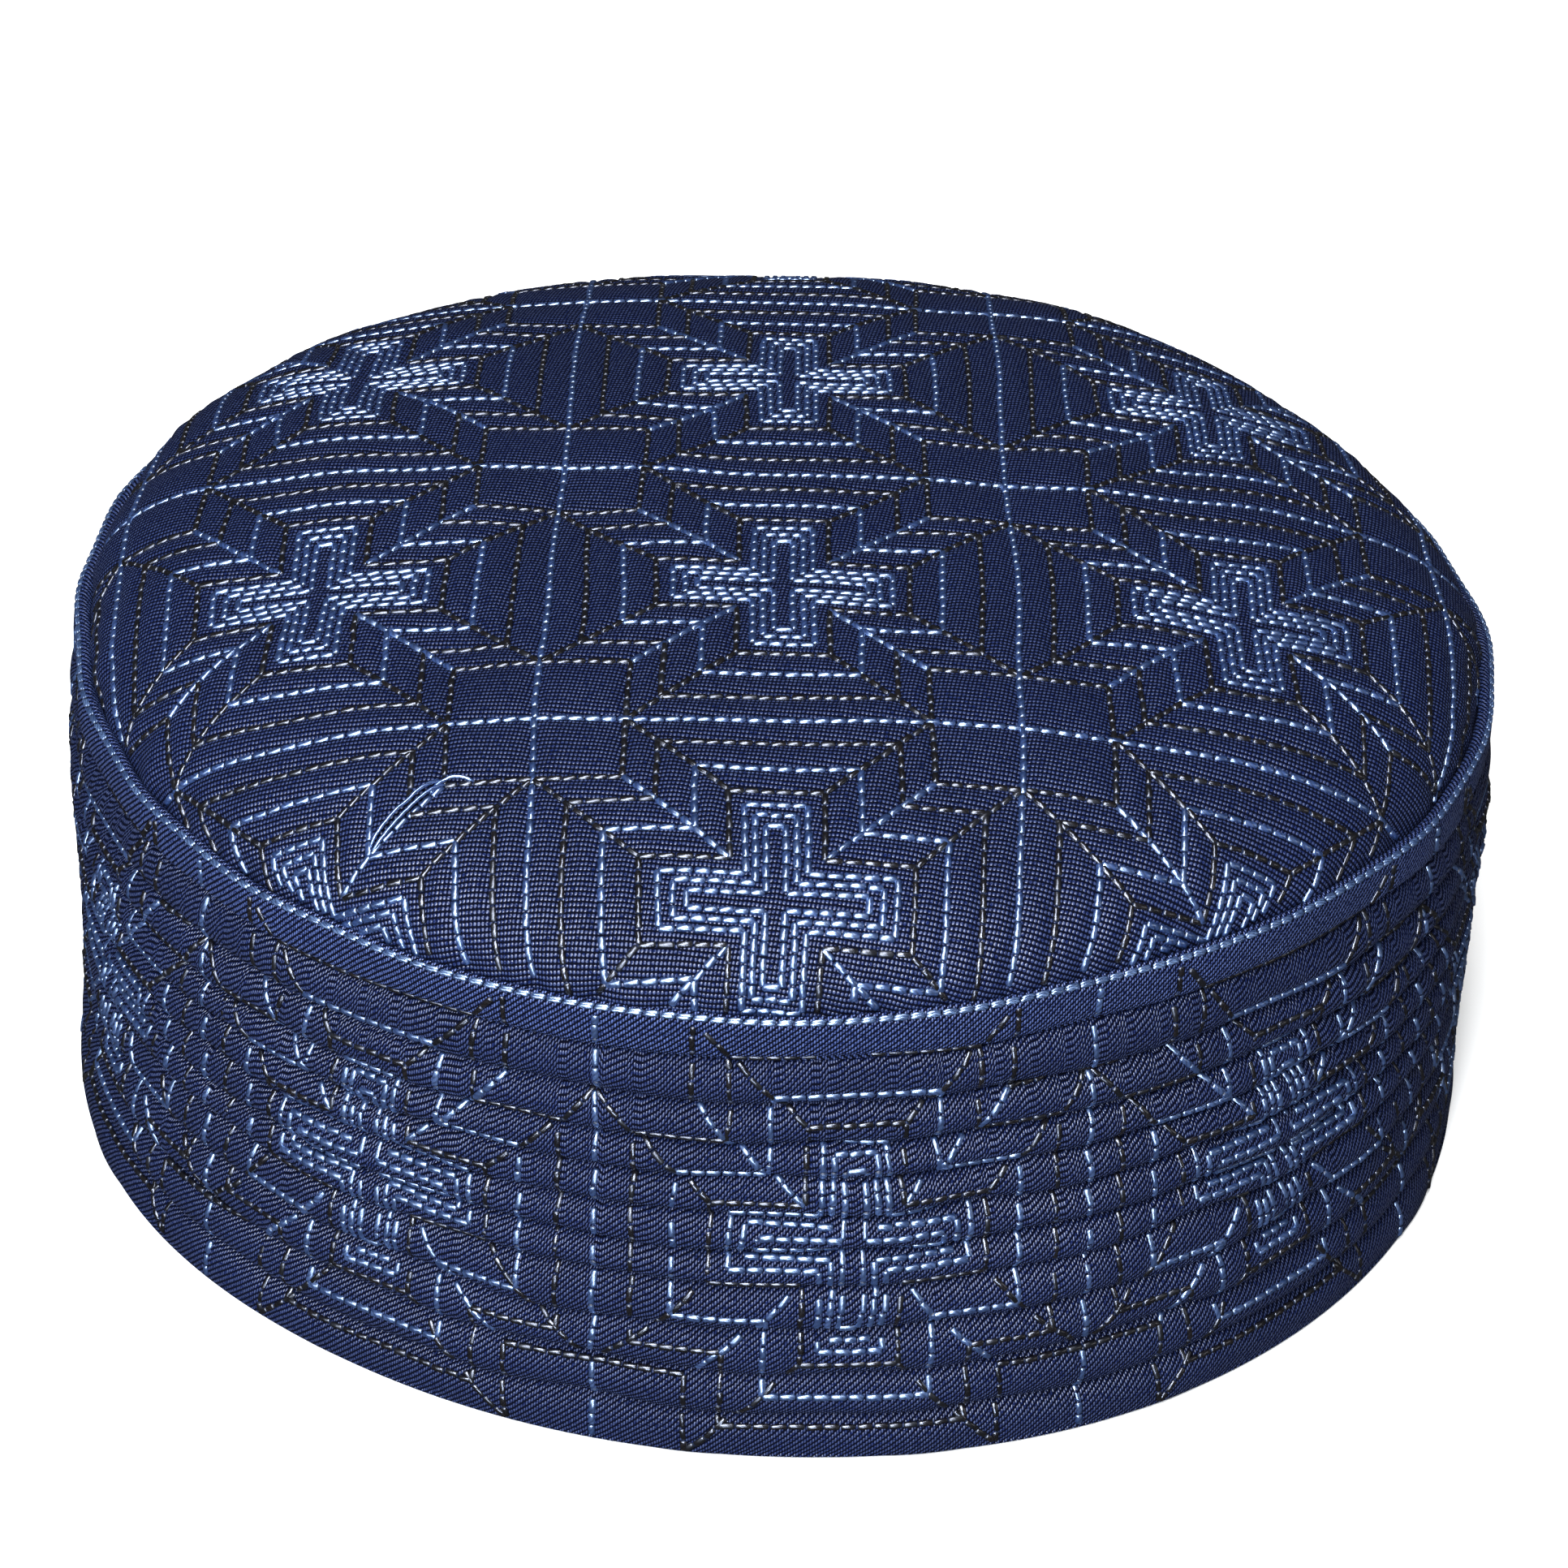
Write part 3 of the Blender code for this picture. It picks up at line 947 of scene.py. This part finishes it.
def clip_to_tucks(ends):
    """Cut stitches off where they run into a crease, and tell which are long enough to show."""
    middle = ends.mean(axis=1)
    angle, height = band_from_tile(middle[:, 0], middle[:, 1])
    tuck, _, from_lower, from_upper = tuck_place(angle, height)
    low = np.where(tuck == 0, LEAST_HEIGHT, height - from_lower + HIDDEN_IN_CREASE)
    top = rim_height(sections_at(angle)) - RIM_STITCH_ROOM
    high = np.where(tuck == STRIP, top, height + from_upper - HIDDEN_IN_CREASE)
    _, heights = band_from_tile(ends[..., 0], ends[..., 1])
    rise = heights[:, 1] - heights[:, 0]
    level = np.abs(rise) < 1e-6
    rise = np.where(level, 1.0, rise)
    share_low = (low - heights[:, 0]) / rise
    share_high = (high - heights[:, 0]) / rise
    first = np.where(level, 0.0, np.clip(np.minimum(share_low, share_high), 0, 1))
    last = np.where(level, 1.0, np.clip(np.maximum(share_low, share_high), 0, 1))
    run = ends[:, 1] - ends[:, 0]
    heads = ends[:, 0] + run * first[:, None]
    tails = ends[:, 0] + run * last[:, None]
    inside = (height > low) & (height < high)
    return np.stack([heads, tails], axis=1), inside & (last - first > SHORTEST_SHARE)


def band_stitches():
    """Stitches of the side band and the rim strip, without those that the creases hide."""
    origins = [np.array((2.0 * tile, 0.0)) for tile in range(BAND_TILES)]
    lines = [line for line in tile_lines() if line.start[1] != 1.0 or line.end[1] != 1.0]
    sewn = sew(lines, origins, (BAND_HALF_TILE_WIDTH, BAND_HALF_TILE_HEIGHT))

    def place(ends, sway):
        angle, height = band_from_tile(ends[:, 0], ends[:, 1])
        return wall_frame(angle + sway[:, 0] / BAND_MIDDLE_RADIUS, height + sway[:, 1])

    made = {}
    for seed, thread in enumerate((LIGHT, MIXED), BAND_STITCH_SEED):
        ends, shown = clip_to_tucks(sewn[thread])
        made[thread] = lay_stitches(ends[shown], place, seed, STITCH_RADIUS * THICKNESS[thread])
    return made


def rim_point(angle, strand, slant):
    """Where the edge stitching of one strand lies, beside the bead."""
    section = sections_at(angle)
    top = rim_height(section)
    radius = section.rim_radius - SEAM_DIP.inward - strand.inward - slant
    radius = radius + wall_swell(angle, top) + RIM_STITCH_LIFT
    return ring_points(angle, radius, top - SEAM_DIP.down + strand.up + slant + RIM_STITCH_LIFT)


def rim_stitches():
    """The row of edge stitching beside the bead, sewn with doubled thread."""
    count = round(BAND_MIDDLE_RADIUS * TURN / RIM_STITCH_PITCH)
    step = TURN / count
    strands = []
    for number, strand in enumerate(RIM_STRANDS):
        draw = np.random.default_rng(RIM_STITCH_SEED + number)
        sway = draw.normal(0, RIM_STITCH_SWAY, count)
        starts = BACK + (np.arange(count) + RIM_STITCH_SHIFT * number + sway) * step
        ends = starts + step
        middle = (starts + ends) / 2
        out = unit(np.stack([np.cos(middle), np.sin(middle), np.ones(count)], axis=-1))
        radii = RIM_STITCH_RADIUS * draw.uniform(*RIM_RADIUS_RANGE, count)
        tones = draw.uniform(0, 1, count)
        heads = rim_point(starts, strand, -RIM_SLANT)
        tails = rim_point(ends, strand, RIM_SLANT)
        strands.append(Stitches(heads, tails, out, radii, tones))
    return join_stitches(strands)


# A long thread that was left lying over the front of the crown: tile places, and lift in mm
Knot = namedtuple("Knot", "i j lift")
LOOSE_STRANDS = (
    (
        Knot(-1.67, -1.65, -0.2), Knot(-1.61, -1.565, 0.8), Knot(-1.515, -1.465, 1.2),
        Knot(-1.43, -1.385, 1.0), Knot(-1.36, -1.34, -0.2),
    ),
    (
        Knot(-1.665, -1.665, -0.2), Knot(-1.59, -1.585, 0.7), Knot(-1.5, -1.485, 0.85),
        Knot(-1.42, -1.405, 0.75), Knot(-1.35, -1.355, -0.2),
    ),
    (
        Knot(-1.43, -1.41, -0.2), Knot(-1.4, -1.38, 0.5), Knot(-1.35, -1.345, 0.55),
        Knot(-1.29, -1.345, 0.45), Knot(-1.23, -1.36, -0.2),
    ),
)
LOOSE_RADIUS = 0.24
LOOSE_TAPER = 9
LOOSE_TIP = 0.12
LOOSE_STEPS = 28
LOOSE_STEP_LENGTH = 0.35
LOOSE_TONE = 0.9


def loose_tube(sheet, strand):
    """Points of one loose strand: a ring of points at each step along it."""
    share = np.linspace(0, 1, LOOSE_STEPS)
    width = np.clip(np.minimum(share, 1 - share) * LOOSE_TAPER, LOOSE_TIP, 1) * LOOSE_RADIUS
    even = np.linspace(0, 1, len(strand))
    curves = (np.polyfit(even, column, len(strand) - 1) for column in zip(*strand))
    i, j, lift = (np.polyval(curve, share) for curve in curves)
    base, out = sheet.frame_at(*crown_from_tile(i, j))
    middle = base + out * lift[:, None]
    along = unit(np.gradient(middle, axis=0))
    side = unit(np.cross(along, out))
    up = np.cross(side, along)
    turn = np.arange(STITCH_SIDES) * TURN / STITCH_SIDES
    ring = side[:, None] * np.cos(turn)[None, :, None] + up[:, None] * np.sin(turn)[None, :, None]
    return (middle[:, None] + ring * width[:, None, None]).reshape(-1, 3)


def tube_faces(first):
    """Faces of one loose strand whose points start at a number, and the UVs of their corners."""
    faces, uvs = [], []
    for row in range(LOOSE_STEPS - 1):
        low = first + row * STITCH_SIDES
        high = low + STITCH_SIDES
        near, far = LOOSE_STEP_LENGTH * row, LOOSE_STEP_LENGTH * (row + 1)
        for around in range(STITCH_SIDES):
            beside = (around + 1) % STITCH_SIDES
            faces.append([low + around, high + around, high + beside, low + beside])
            left, right = around / STITCH_SIDES, (around + 1) / STITCH_SIDES
            uvs += [(near, left), (far, left), (far, right), (near, right)]
    last = first + (LOOSE_STEPS - 1) * STITCH_SIDES
    faces.append([first + around for around in range(STITCH_SIDES)])
    faces.append([last + around for around in reversed(range(STITCH_SIDES))])
    return faces, uvs + [(0.0, 0.0)] * (2 * STITCH_SIDES)


def make_loose_threads(name, sheet):
    """Thin closed tubes along the loose strands, tapered where they go into the cloth."""
    points, faces, uvs = [], [], []
    for strand in LOOSE_STRANDS:
        strand_faces, strand_uvs = tube_faces(len(points) * LOOSE_STEPS * STITCH_SIDES)
        points.append(loose_tube(sheet, strand))
        faces += strand_faces
        uvs += strand_uvs
    points = np.concatenate(points)
    item = make_mesh(name, points, faces, uvs, "thread")
    add_values(item, "tone", np.full(len(points), LOOSE_TONE))
    add_values(item, "tip", np.zeros(len(points)))
    return item


# How a shader value from low to high is turned, smoothly, into another one
Span = namedtuple("Span", "low high to_low to_high")


class Nodes:
    """Short way to make and link shader nodes."""

    def __init__(self, name):
        self.material = bpy.data.materials.new(name)
        self.material.use_nodes = True
        self.tree = self.material.node_tree
        self.shader = self.tree.nodes["Principled BSDF"]

    def link(self, source, target):
        self.tree.links.new(source, target)

    def add(self, kind, **settings):
        node = self.tree.nodes.new(kind)
        for key, value in settings.items():
            setattr(node, key, value)
        return node

    def put(self, socket, value):
        if isinstance(value, bpy.types.NodeSocket):
            self.link(value, socket)
        else:
            socket.default_value = value

    def set(self, **values):
        """Put numbers, colours or links on the shader's own sockets, named with _ for spaces."""
        for name, value in values.items():
            colour = isinstance(value, tuple)
            self.put(self.shader.inputs[name.replace("_", " ")], (*value, 1.0) if colour else value)

    def bump(self, height, strength, distance):
        """Normal of a surface raised by height, with the distance in metres."""
        node = self.add("ShaderNodeBump")
        node.inputs["Strength"].default_value = strength
        node.inputs["Distance"].default_value = distance
        self.link(height, node.inputs["Height"])
        return node.outputs["Normal"]

    def math(self, operation, *values):
        node = self.add("ShaderNodeMath", operation=operation)
        for socket, value in zip(node.inputs, values):
            self.put(socket, value)
        return node.outputs[0]

    def dot(self, *values):
        node = self.add("ShaderNodeVectorMath", operation="DOT_PRODUCT")
        for socket, value in zip(node.inputs, values):
            self.put(socket, value)
        return node.outputs["Value"]

    def mix(self, factor, low, high):
        node = self.add("ShaderNodeMix", data_type="RGBA")
        self.put(node.inputs["Factor"], factor)
        for name, value in (("A", low), ("B", high)):
            socket = [item for item in node.inputs if item.name == name and item.type == "RGBA"][0]
            self.put(socket, value if isinstance(value, bpy.types.NodeSocket) else (*value, 1.0))
        return [item for item in node.outputs if item.type == "RGBA"][0]

    def noise(self, vector, scale, detail=2.0):
        node = self.add("ShaderNodeTexNoise")
        self.link(vector, node.inputs["Vector"])
        node.inputs["Scale"].default_value = scale
        node.inputs["Detail"].default_value = detail
        return node.outputs["Fac"]

    def span(self, value, span):
        node = self.add("ShaderNodeMapRange", interpolation_type="SMOOTHSTEP")
        for socket, given in zip(node.inputs, (value, *span)):
            self.put(socket, given)
        return node.outputs[0]

    def wave(self, phase):
        """0 to 1 and back once for each whole step of phase."""
        turned = self.math("COSINE", self.math("MULTIPLY", phase, TURN))
        return self.math("MULTIPLY_ADD", turned, 0.5, 0.5)


# Twill: how many ribs and yarns there are in each millimetre along and across the cloth
Weave = namedtuple("Weave", "rib yarn")
CROWN_WEAVE = Weave((0.12, 1.5, 0.0), (-2.0, 0.3, 0.0))
BAND_WEAVE = Weave((-1.1, 1.185, 0.0), (2.95, 0.18, 0.0))
WEAVE_DRIFT = 0.6
DRIFT_SCALE = 0.16
YARN_SHARE = 0.85
WEAVE_HEIGHT = 0.0001
GLISTEN_SCALE = 2.6
GLISTENING = Span(0.32, 0.62, 0.12, 1.0)
FLECKS = Span(0.12, 0.6, 0.0, 1.0)
COATED = Span(0.08, 0.5, 0.0, 1.0)
PATCH_SCALE = 0.05
PATCHES = Span(0.3, 0.7, 0.0, 1.0)
# Painted shade: where the hollows between the yarns are darkened
HOLLOW_SHADE = Span(0.02, 0.6, 0.95, 0.0)
DARK_NAVY = (0.0007, 0.004, 0.033)
NAVY = (0.0012, 0.006, 0.046)
# Painted glint: a lighter colour on the raised yarns that stands in for their highlights
PAINTED_GLINT = (0.02, 0.034, 0.1)
# Painted light: the rim's copy of the band cloth has this much brighter painted glint
RIM_PAINTED_GLINT_GAIN = 2.0
# How dark the painted shade in the hollows gets, as a share of the dark navy
HOLLOW_SHADE_DARKNESS = 0.06


def make_cloth(name, weave, painted_glint):
    """Navy twill whose raised yarns glisten here and there, with real gloss from the coat, a painted
    glint in the base colour and painted shade in the hollows.
    """
    nodes = Nodes(name)
    place = nodes.add("ShaderNodeUVMap", uv_map="weave").outputs["UV"]
    drift = nodes.math("MULTIPLY_ADD", nodes.noise(place, DRIFT_SCALE), WEAVE_DRIFT, -WEAVE_DRIFT / 2)
    ribs, yarns = (nodes.wave(nodes.math("ADD", nodes.dot(place, way), drift)) for way in weave)
    woven = nodes.math("MULTIPLY_ADD", yarns, YARN_SHARE, 1 - YARN_SHARE)
    lumps = nodes.math("MULTIPLY", ribs, woven)
    glistening = nodes.span(nodes.noise(place, GLISTEN_SCALE, 1.0), GLISTENING)
    flecks = nodes.math("MULTIPLY", nodes.span(lumps, FLECKS), glistening)
    ground = nodes.mix(nodes.span(nodes.noise(place, PATCH_SCALE, 3.0), PATCHES), DARK_NAVY, NAVY)
    # Painted shade: the hollows between the yarns are darkened
    deep = tuple(HOLLOW_SHADE_DARKNESS * part for part in DARK_NAVY)
    ground_with_hollow_shade = nodes.mix(nodes.span(lumps, HOLLOW_SHADE), ground, deep)
    normal = nodes.bump(lumps, 0.8, WEAVE_HEIGHT)
    # The base colour holds a painted glint on the flecks
    nodes.set(Base_Color=nodes.mix(flecks, ground_with_hollow_shade, painted_glint), Roughness=0.9, Specular_IOR_Level=0.06)
    nodes.set(Coat_Weight=nodes.span(flecks, COATED), Coat_Roughness=0.36, Coat_IOR=1.6)
    nodes.set(Normal=normal, Coat_Normal=normal)
    return nodes.material


# Body and shine are a thread's colours, shade is painted shade between its plies, and tip is a colour
# painted near its ends: painted shade on the light threads, a painted glint on the dark thread
ThreadLook = namedtuple("ThreadLook", "shade body shine tip tip_amount gloss tint smooth rough")
CROWN_LIGHT = ThreadLook(
    shade=(0.002, 0.006, 0.03),
    body=(0.008, 0.021, 0.075),
    shine=(0.022, 0.045, 0.14),
    tip=(0.006, 0.018, 0.06),
    tip_amount=0.6,
    gloss=2.3,
    tint=(0.54, 0.7, 1.0),
    smooth=0.26,
    rough=0.34,
)
# Painted light: the band's and the rim's copies of the same light thread are painted brighter, for
# the light they catch
BAND_LIGHT_PAINTED_LIT = CROWN_LIGHT._replace(body=(0.011, 0.026, 0.08), shine=(0.03, 0.055, 0.14))
RIM_LIGHT_PAINTED_LIT = CROWN_LIGHT._replace(body=(0.02, 0.04, 0.1), shine=(0.06, 0.1, 0.2))
DARK_THREAD = ThreadLook(
    shade=(0.001, 0.001, 0.0015),
    body=(0.002, 0.002, 0.0025),
    shine=(0.005, 0.004, 0.004),
    tip=(0.008, 0.007, 0.008),
    tip_amount=0.4,
    gloss=1.56,
    tint=(0.74, 0.8, 1.0),
    smooth=0.2,
    rough=0.36,
)
PLIES = 3
TWIST = (0.42, 1.0, 0.0)
PLY_HEIGHT = 0.00005
PLY_SHARE = 0.8
PAINTED_PLY_SHADE = Span(0.1, 0.6, 0.85, 0.0)
SHINY_TONES = Span(0.35, 1.0, 0.0, 1.0)
DULL_TONES = Span(0.5, 0.0, 0.0, 1.0)
TIP_TONES = Span(0.2, 0.6, 0.5, 1.0)
DULL_ENDS = Span(0.3, 0.8, 0.0, 0.7)
TIP_START = 0.35
TIP_FULL = 0.8
# Painted shade of the needle holes, on the ends of the stitches
HOLE_SHADE_DARK = (0.002, 0.004, 0.012)
HOLE_SHADE_PALE = (0.01, 0.022, 0.06)


def make_thread(name, look):
    """Glossy twisted thread, which is duller near its ends and where a stitch is of a dull tone, with
    painted shade between its plies and a colour painted near its ends.
    """
    nodes = Nodes(name)
    place = nodes.add("ShaderNodeUVMap", uv_map="thread").outputs["UV"]
    tone = nodes.add("ShaderNodeAttribute", attribute_name="tone").outputs["Fac"]
    near_end = nodes.add("ShaderNodeAttribute", attribute_name="tip").outputs["Fac"]
    twist = nodes.dot(place, TWIST)
    plies = nodes.wave(nodes.math("MULTIPLY", twist, PLIES))
    filament = nodes.wave(nodes.math("MULTIPLY", twist, PLIES * 3))
    fine = nodes.math("MULTIPLY", filament, 1 - PLY_SHARE)
    height = nodes.math("ADD", nodes.math("MULTIPLY", plies, PLY_SHARE), fine)
    own = nodes.mix(nodes.span(tone, SHINY_TONES), look.body, look.shine)
    # Painted shade between the plies
    twisted = nodes.mix(nodes.span(height, PAINTED_PLY_SHADE), own, look.shade)
    # Painted near the ends: shade on the light threads, a glint on the dark thread
    ending = nodes.span(near_end, Span(TIP_START, TIP_FULL, 0.0, look.tip_amount))
    painted_end_mask = nodes.math("MULTIPLY", ending, nodes.span(tone, TIP_TONES))
    dull, dull_tone = nodes.span(near_end, DULL_ENDS), nodes.span(tone, DULL_TONES)
    matt = nodes.math("MAXIMUM", dull, dull_tone)
    roughness = nodes.math("MULTIPLY_ADD", matt, look.rough - look.smooth, look.smooth)
    nodes.set(Base_Color=nodes.mix(painted_end_mask, twisted, look.tip), Roughness=roughness)
    nodes.set(IOR=look.gloss, Specular_IOR_Level=1.0, Specular_Tint=look.tint)
    nodes.set(Normal=nodes.bump(height, 0.25, PLY_HEIGHT))
    return nodes.material


def make_hole_shaded_end(name):
    """The ends of the stitches, which turn down into the needle holes, coloured dark as painted shade
    in the holes.
    """
    nodes = Nodes(name)
    place = nodes.add("ShaderNodeUVMap", uv_map="thread").outputs["UV"]
    colour = nodes.mix(nodes.noise(place, 2.0), HOLE_SHADE_DARK, HOLE_SHADE_PALE)
    nodes.set(Base_Color=colour, Roughness=0.45, Specular_IOR_Level=0.5)
    return nodes.material


def dress(item, material, slot, *nodes):
    item.data.materials.append(material)
    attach(item, "root")
    if nodes:
        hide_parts(*nodes)


def sew_on(name, stitches, thread, end, slot, rings=STITCH_RINGS):
    item = make_stitches(name, stitches, rings)
    dress(item, thread, slot)
    item.data.materials.append(end)


def make_cap_cloth(sheet):
    """The crown, the band and the rim, in place of the plain solids."""
    crown = make_crown(sheet)
    dress(crown, make_cloth("crown_twill", CROWN_WEAVE, PAINTED_GLINT), "crown_cloth", "crown_top")
    band = make_side_band()
    dress(band, make_cloth("band_twill", BAND_WEAVE, PAINTED_GLINT), "band_cloth", "side_band")
    # The rim's cloth is a lit copy of the band's, with a brighter painted glint
    rim_painted_glint = tuple(RIM_PAINTED_GLINT_GAIN * part for part in PAINTED_GLINT)
    dress(make_rim(), make_cloth("rim_twill", BAND_WEAVE, rim_painted_glint), "rim_cloth", "rim_binding")


def make_cap_threads(sheet):
    """The sewn ornament, the edge stitching and the loose thread."""
    light = make_thread("crown_light_thread", CROWN_LIGHT)
    # Lit copies of the light thread for the band and the rim
    band_light_painted_lit = make_thread("band_light_thread", BAND_LIGHT_PAINTED_LIT)
    rim_light_painted_lit = make_thread("rim_light_thread", RIM_LIGHT_PAINTED_LIT)
    mixed = make_thread("mixed_thread", DARK_THREAD)
    # Painted shade of the needle holes, on the stitches' ends
    end = make_hole_shaded_end("thread_end")
    sewn = crown_stitches(sheet)
    sew_on("crown_light_stitches", sewn[LIGHT], light, end, "light_thread")
    sew_on("crown_mixed_stitches", sewn[MIXED], mixed, end, "mixed_thread")
    dress(make_loose_threads("loose_threads", sheet), light, "light_thread")
    sewn = band_stitches()
    sew_on("band_light_stitches", sewn[LIGHT], band_light_painted_lit, end, "light_thread")
    sew_on("band_mixed_stitches", sewn[MIXED], mixed, end, "mixed_thread")
    sew_on("rim_edge_stitches", rim_stitches(), rim_light_painted_lit, end, "light_thread", RIM_STITCH_RINGS)


# The photo's view, fitted to its outline and its sewn lines
VIEW_DOWN = math.radians(32.918)
VIEW_DISTANCE = 572.4
VIEW_ROLL = math.radians(-1.99)
VIEW_TARGET = (0.908 + AXIS[0], AXIS[1], RIM_HEIGHT - 27.76)
PHOTO_SIDE = 1932
FOCAL_PIXELS = 5193.9
SENSOR_WIDTH = 36.0


def make_camera():
    forward = np.array([0.0, math.cos(VIEW_DOWN), -math.sin(VIEW_DOWN)])
    up = np.array([0.0, math.sin(VIEW_DOWN), math.cos(VIEW_DOWN)])
    right = np.array([1.0, 0.0, 0.0])
    across = right * math.cos(VIEW_ROLL) - up * math.sin(VIEW_ROLL)
    above = right * math.sin(VIEW_ROLL) + up * math.cos(VIEW_ROLL)
    place = (np.array(VIEW_TARGET) - forward * VIEW_DISTANCE) * MM
    data = bpy.data.cameras.new("camera")
    data.sensor_width = SENSOR_WIDTH
    data.lens = SENSOR_WIDTH * FOCAL_PIXELS / PHOTO_SIDE
    data.clip_start = 0.02
    data.clip_end = 20.0
    camera = bpy.data.objects.new("camera", data)
    bpy.context.scene.collection.objects.link(camera)
    matrix = Matrix.Identity(4)
    for column, values in enumerate((across, above, -forward, place)):
        for row in range(3):
            matrix[row][column] = values[row]
    camera.matrix_world = matrix
    bpy.context.scene.camera = camera


Lamp = namedtuple("Lamp", "name place width length power colour")
LAMPS = (
    Lamp("top_lamp", (-0.05, -0.45, 1.1), 0.4, 1.3, 23.0, (1.0, 1.0, 1.0)),
    Lamp("main_lamp", (-0.36, -0.93, 0.8), 0.6, 0.5, 22.5, (0.94, 0.97, 1.0)),
    Lamp("low_lamp", (-0.1, -1.3, 0.2), 0.6, 0.3, 11.0, (0.82, 0.91, 1.0)),
    Lamp("left_lamp", (-0.98, -0.9, 0.42), 0.5, 0.5, 4.5, (0.88, 0.94, 1.0)),
    Lamp("right_lamp", (1.15, -0.45, 0.42), 0.5, 0.4, 0.9, (1.0, 0.94, 0.8)),
)


def make_light(lamp):
    """A soft lamp that faces the foot of the cap."""
    data = bpy.data.lights.new(lamp.name, "AREA")
    data.shape = "RECTANGLE"
    data.size = lamp.width
    data.size_y = lamp.length
    data.energy = lamp.power
    data.color = lamp.colour
    item = bpy.data.objects.new(lamp.name, data)
    item.location = lamp.place
    item.rotation_euler = Vector(lamp.place).to_track_quat("Z", "Y").to_euler()
    bpy.context.scene.collection.objects.link(item)


WHITE = (1.0, 1.0, 1.0)
PALE = (0.96, 0.96, 0.96)
FLOOR_HALF = 4.0
FLOOR_LEVEL = -0.0003
FLOOR_WHITE = Span(0.2, 0.5, 0.0, 1.0)
ROOM_LIGHT = 0.05
ROOM_COLOUR = (1.0, 0.97, 0.9)


def make_pale_floor():
    """Matt and pale, and evenly white further out, where the lamps don't reach."""
    nodes = Nodes("pale_floor")
    place = nodes.add("ShaderNodeNewGeometry").outputs["Position"]
    away = nodes.math("SQRT", nodes.dot(place, place))
    seen = nodes.add("ShaderNodeLightPath").outputs["Is Camera Ray"]
    shining = nodes.math("MULTIPLY", nodes.span(away, FLOOR_WHITE), seen)
    nodes.set(Base_Color=PALE, Roughness=0.9, Emission_Color=WHITE, Emission_Strength=shining)
    return nodes.material


def make_room():
    """Pale floor, white surroundings and soft lamps."""
    mesh = bpy.data.meshes.new("floor")
    sides = ((-1, -1), (1, -1), (1, 1), (-1, 1))
    corners = [(FLOOR_HALF * x, FLOOR_HALF * y, FLOOR_LEVEL) for x, y in sides]
    mesh.from_pydata(corners, [], [(0, 1, 2, 3)])
    floor = bpy.data.objects.new("floor", mesh)
    bpy.context.scene.collection.objects.link(floor)
    floor.data.materials.append(make_pale_floor())
    floor.visible_glossy = False
    make_surroundings()
    for lamp in LAMPS:
        make_light(lamp)


def make_surroundings():
    """A dim, even room, with a white wall behind the floor where the camera looks past it."""
    world = bpy.data.worlds.new("surroundings")
    world.use_nodes = True
    tree = world.node_tree
    room = tree.nodes["Background"]
    room.inputs["Color"].default_value = (*ROOM_COLOUR, 1.0)
    room.inputs["Strength"].default_value = ROOM_LIGHT
    wall = tree.nodes.new("ShaderNodeBackground")
    wall.inputs["Color"].default_value = (*WHITE, 1.0)
    path = tree.nodes.new("ShaderNodeLightPath")
    join = tree.nodes.new("ShaderNodeMixShader")
    tree.links.new(path.outputs["Is Camera Ray"], join.inputs["Fac"])
    tree.links.new(room.outputs["Background"], join.inputs[1])
    tree.links.new(wall.outputs["Background"], join.inputs[2])
    tree.links.new(join.outputs["Shader"], tree.nodes["World Output"].inputs["Surface"])
    bpy.context.scene.world = world


bpy.context.scene.view_settings.view_transform = "Standard"
cap_sheet = CrownSheet()
make_cap_cloth(cap_sheet)
make_cap_threads(cap_sheet)
make_camera()
make_room()
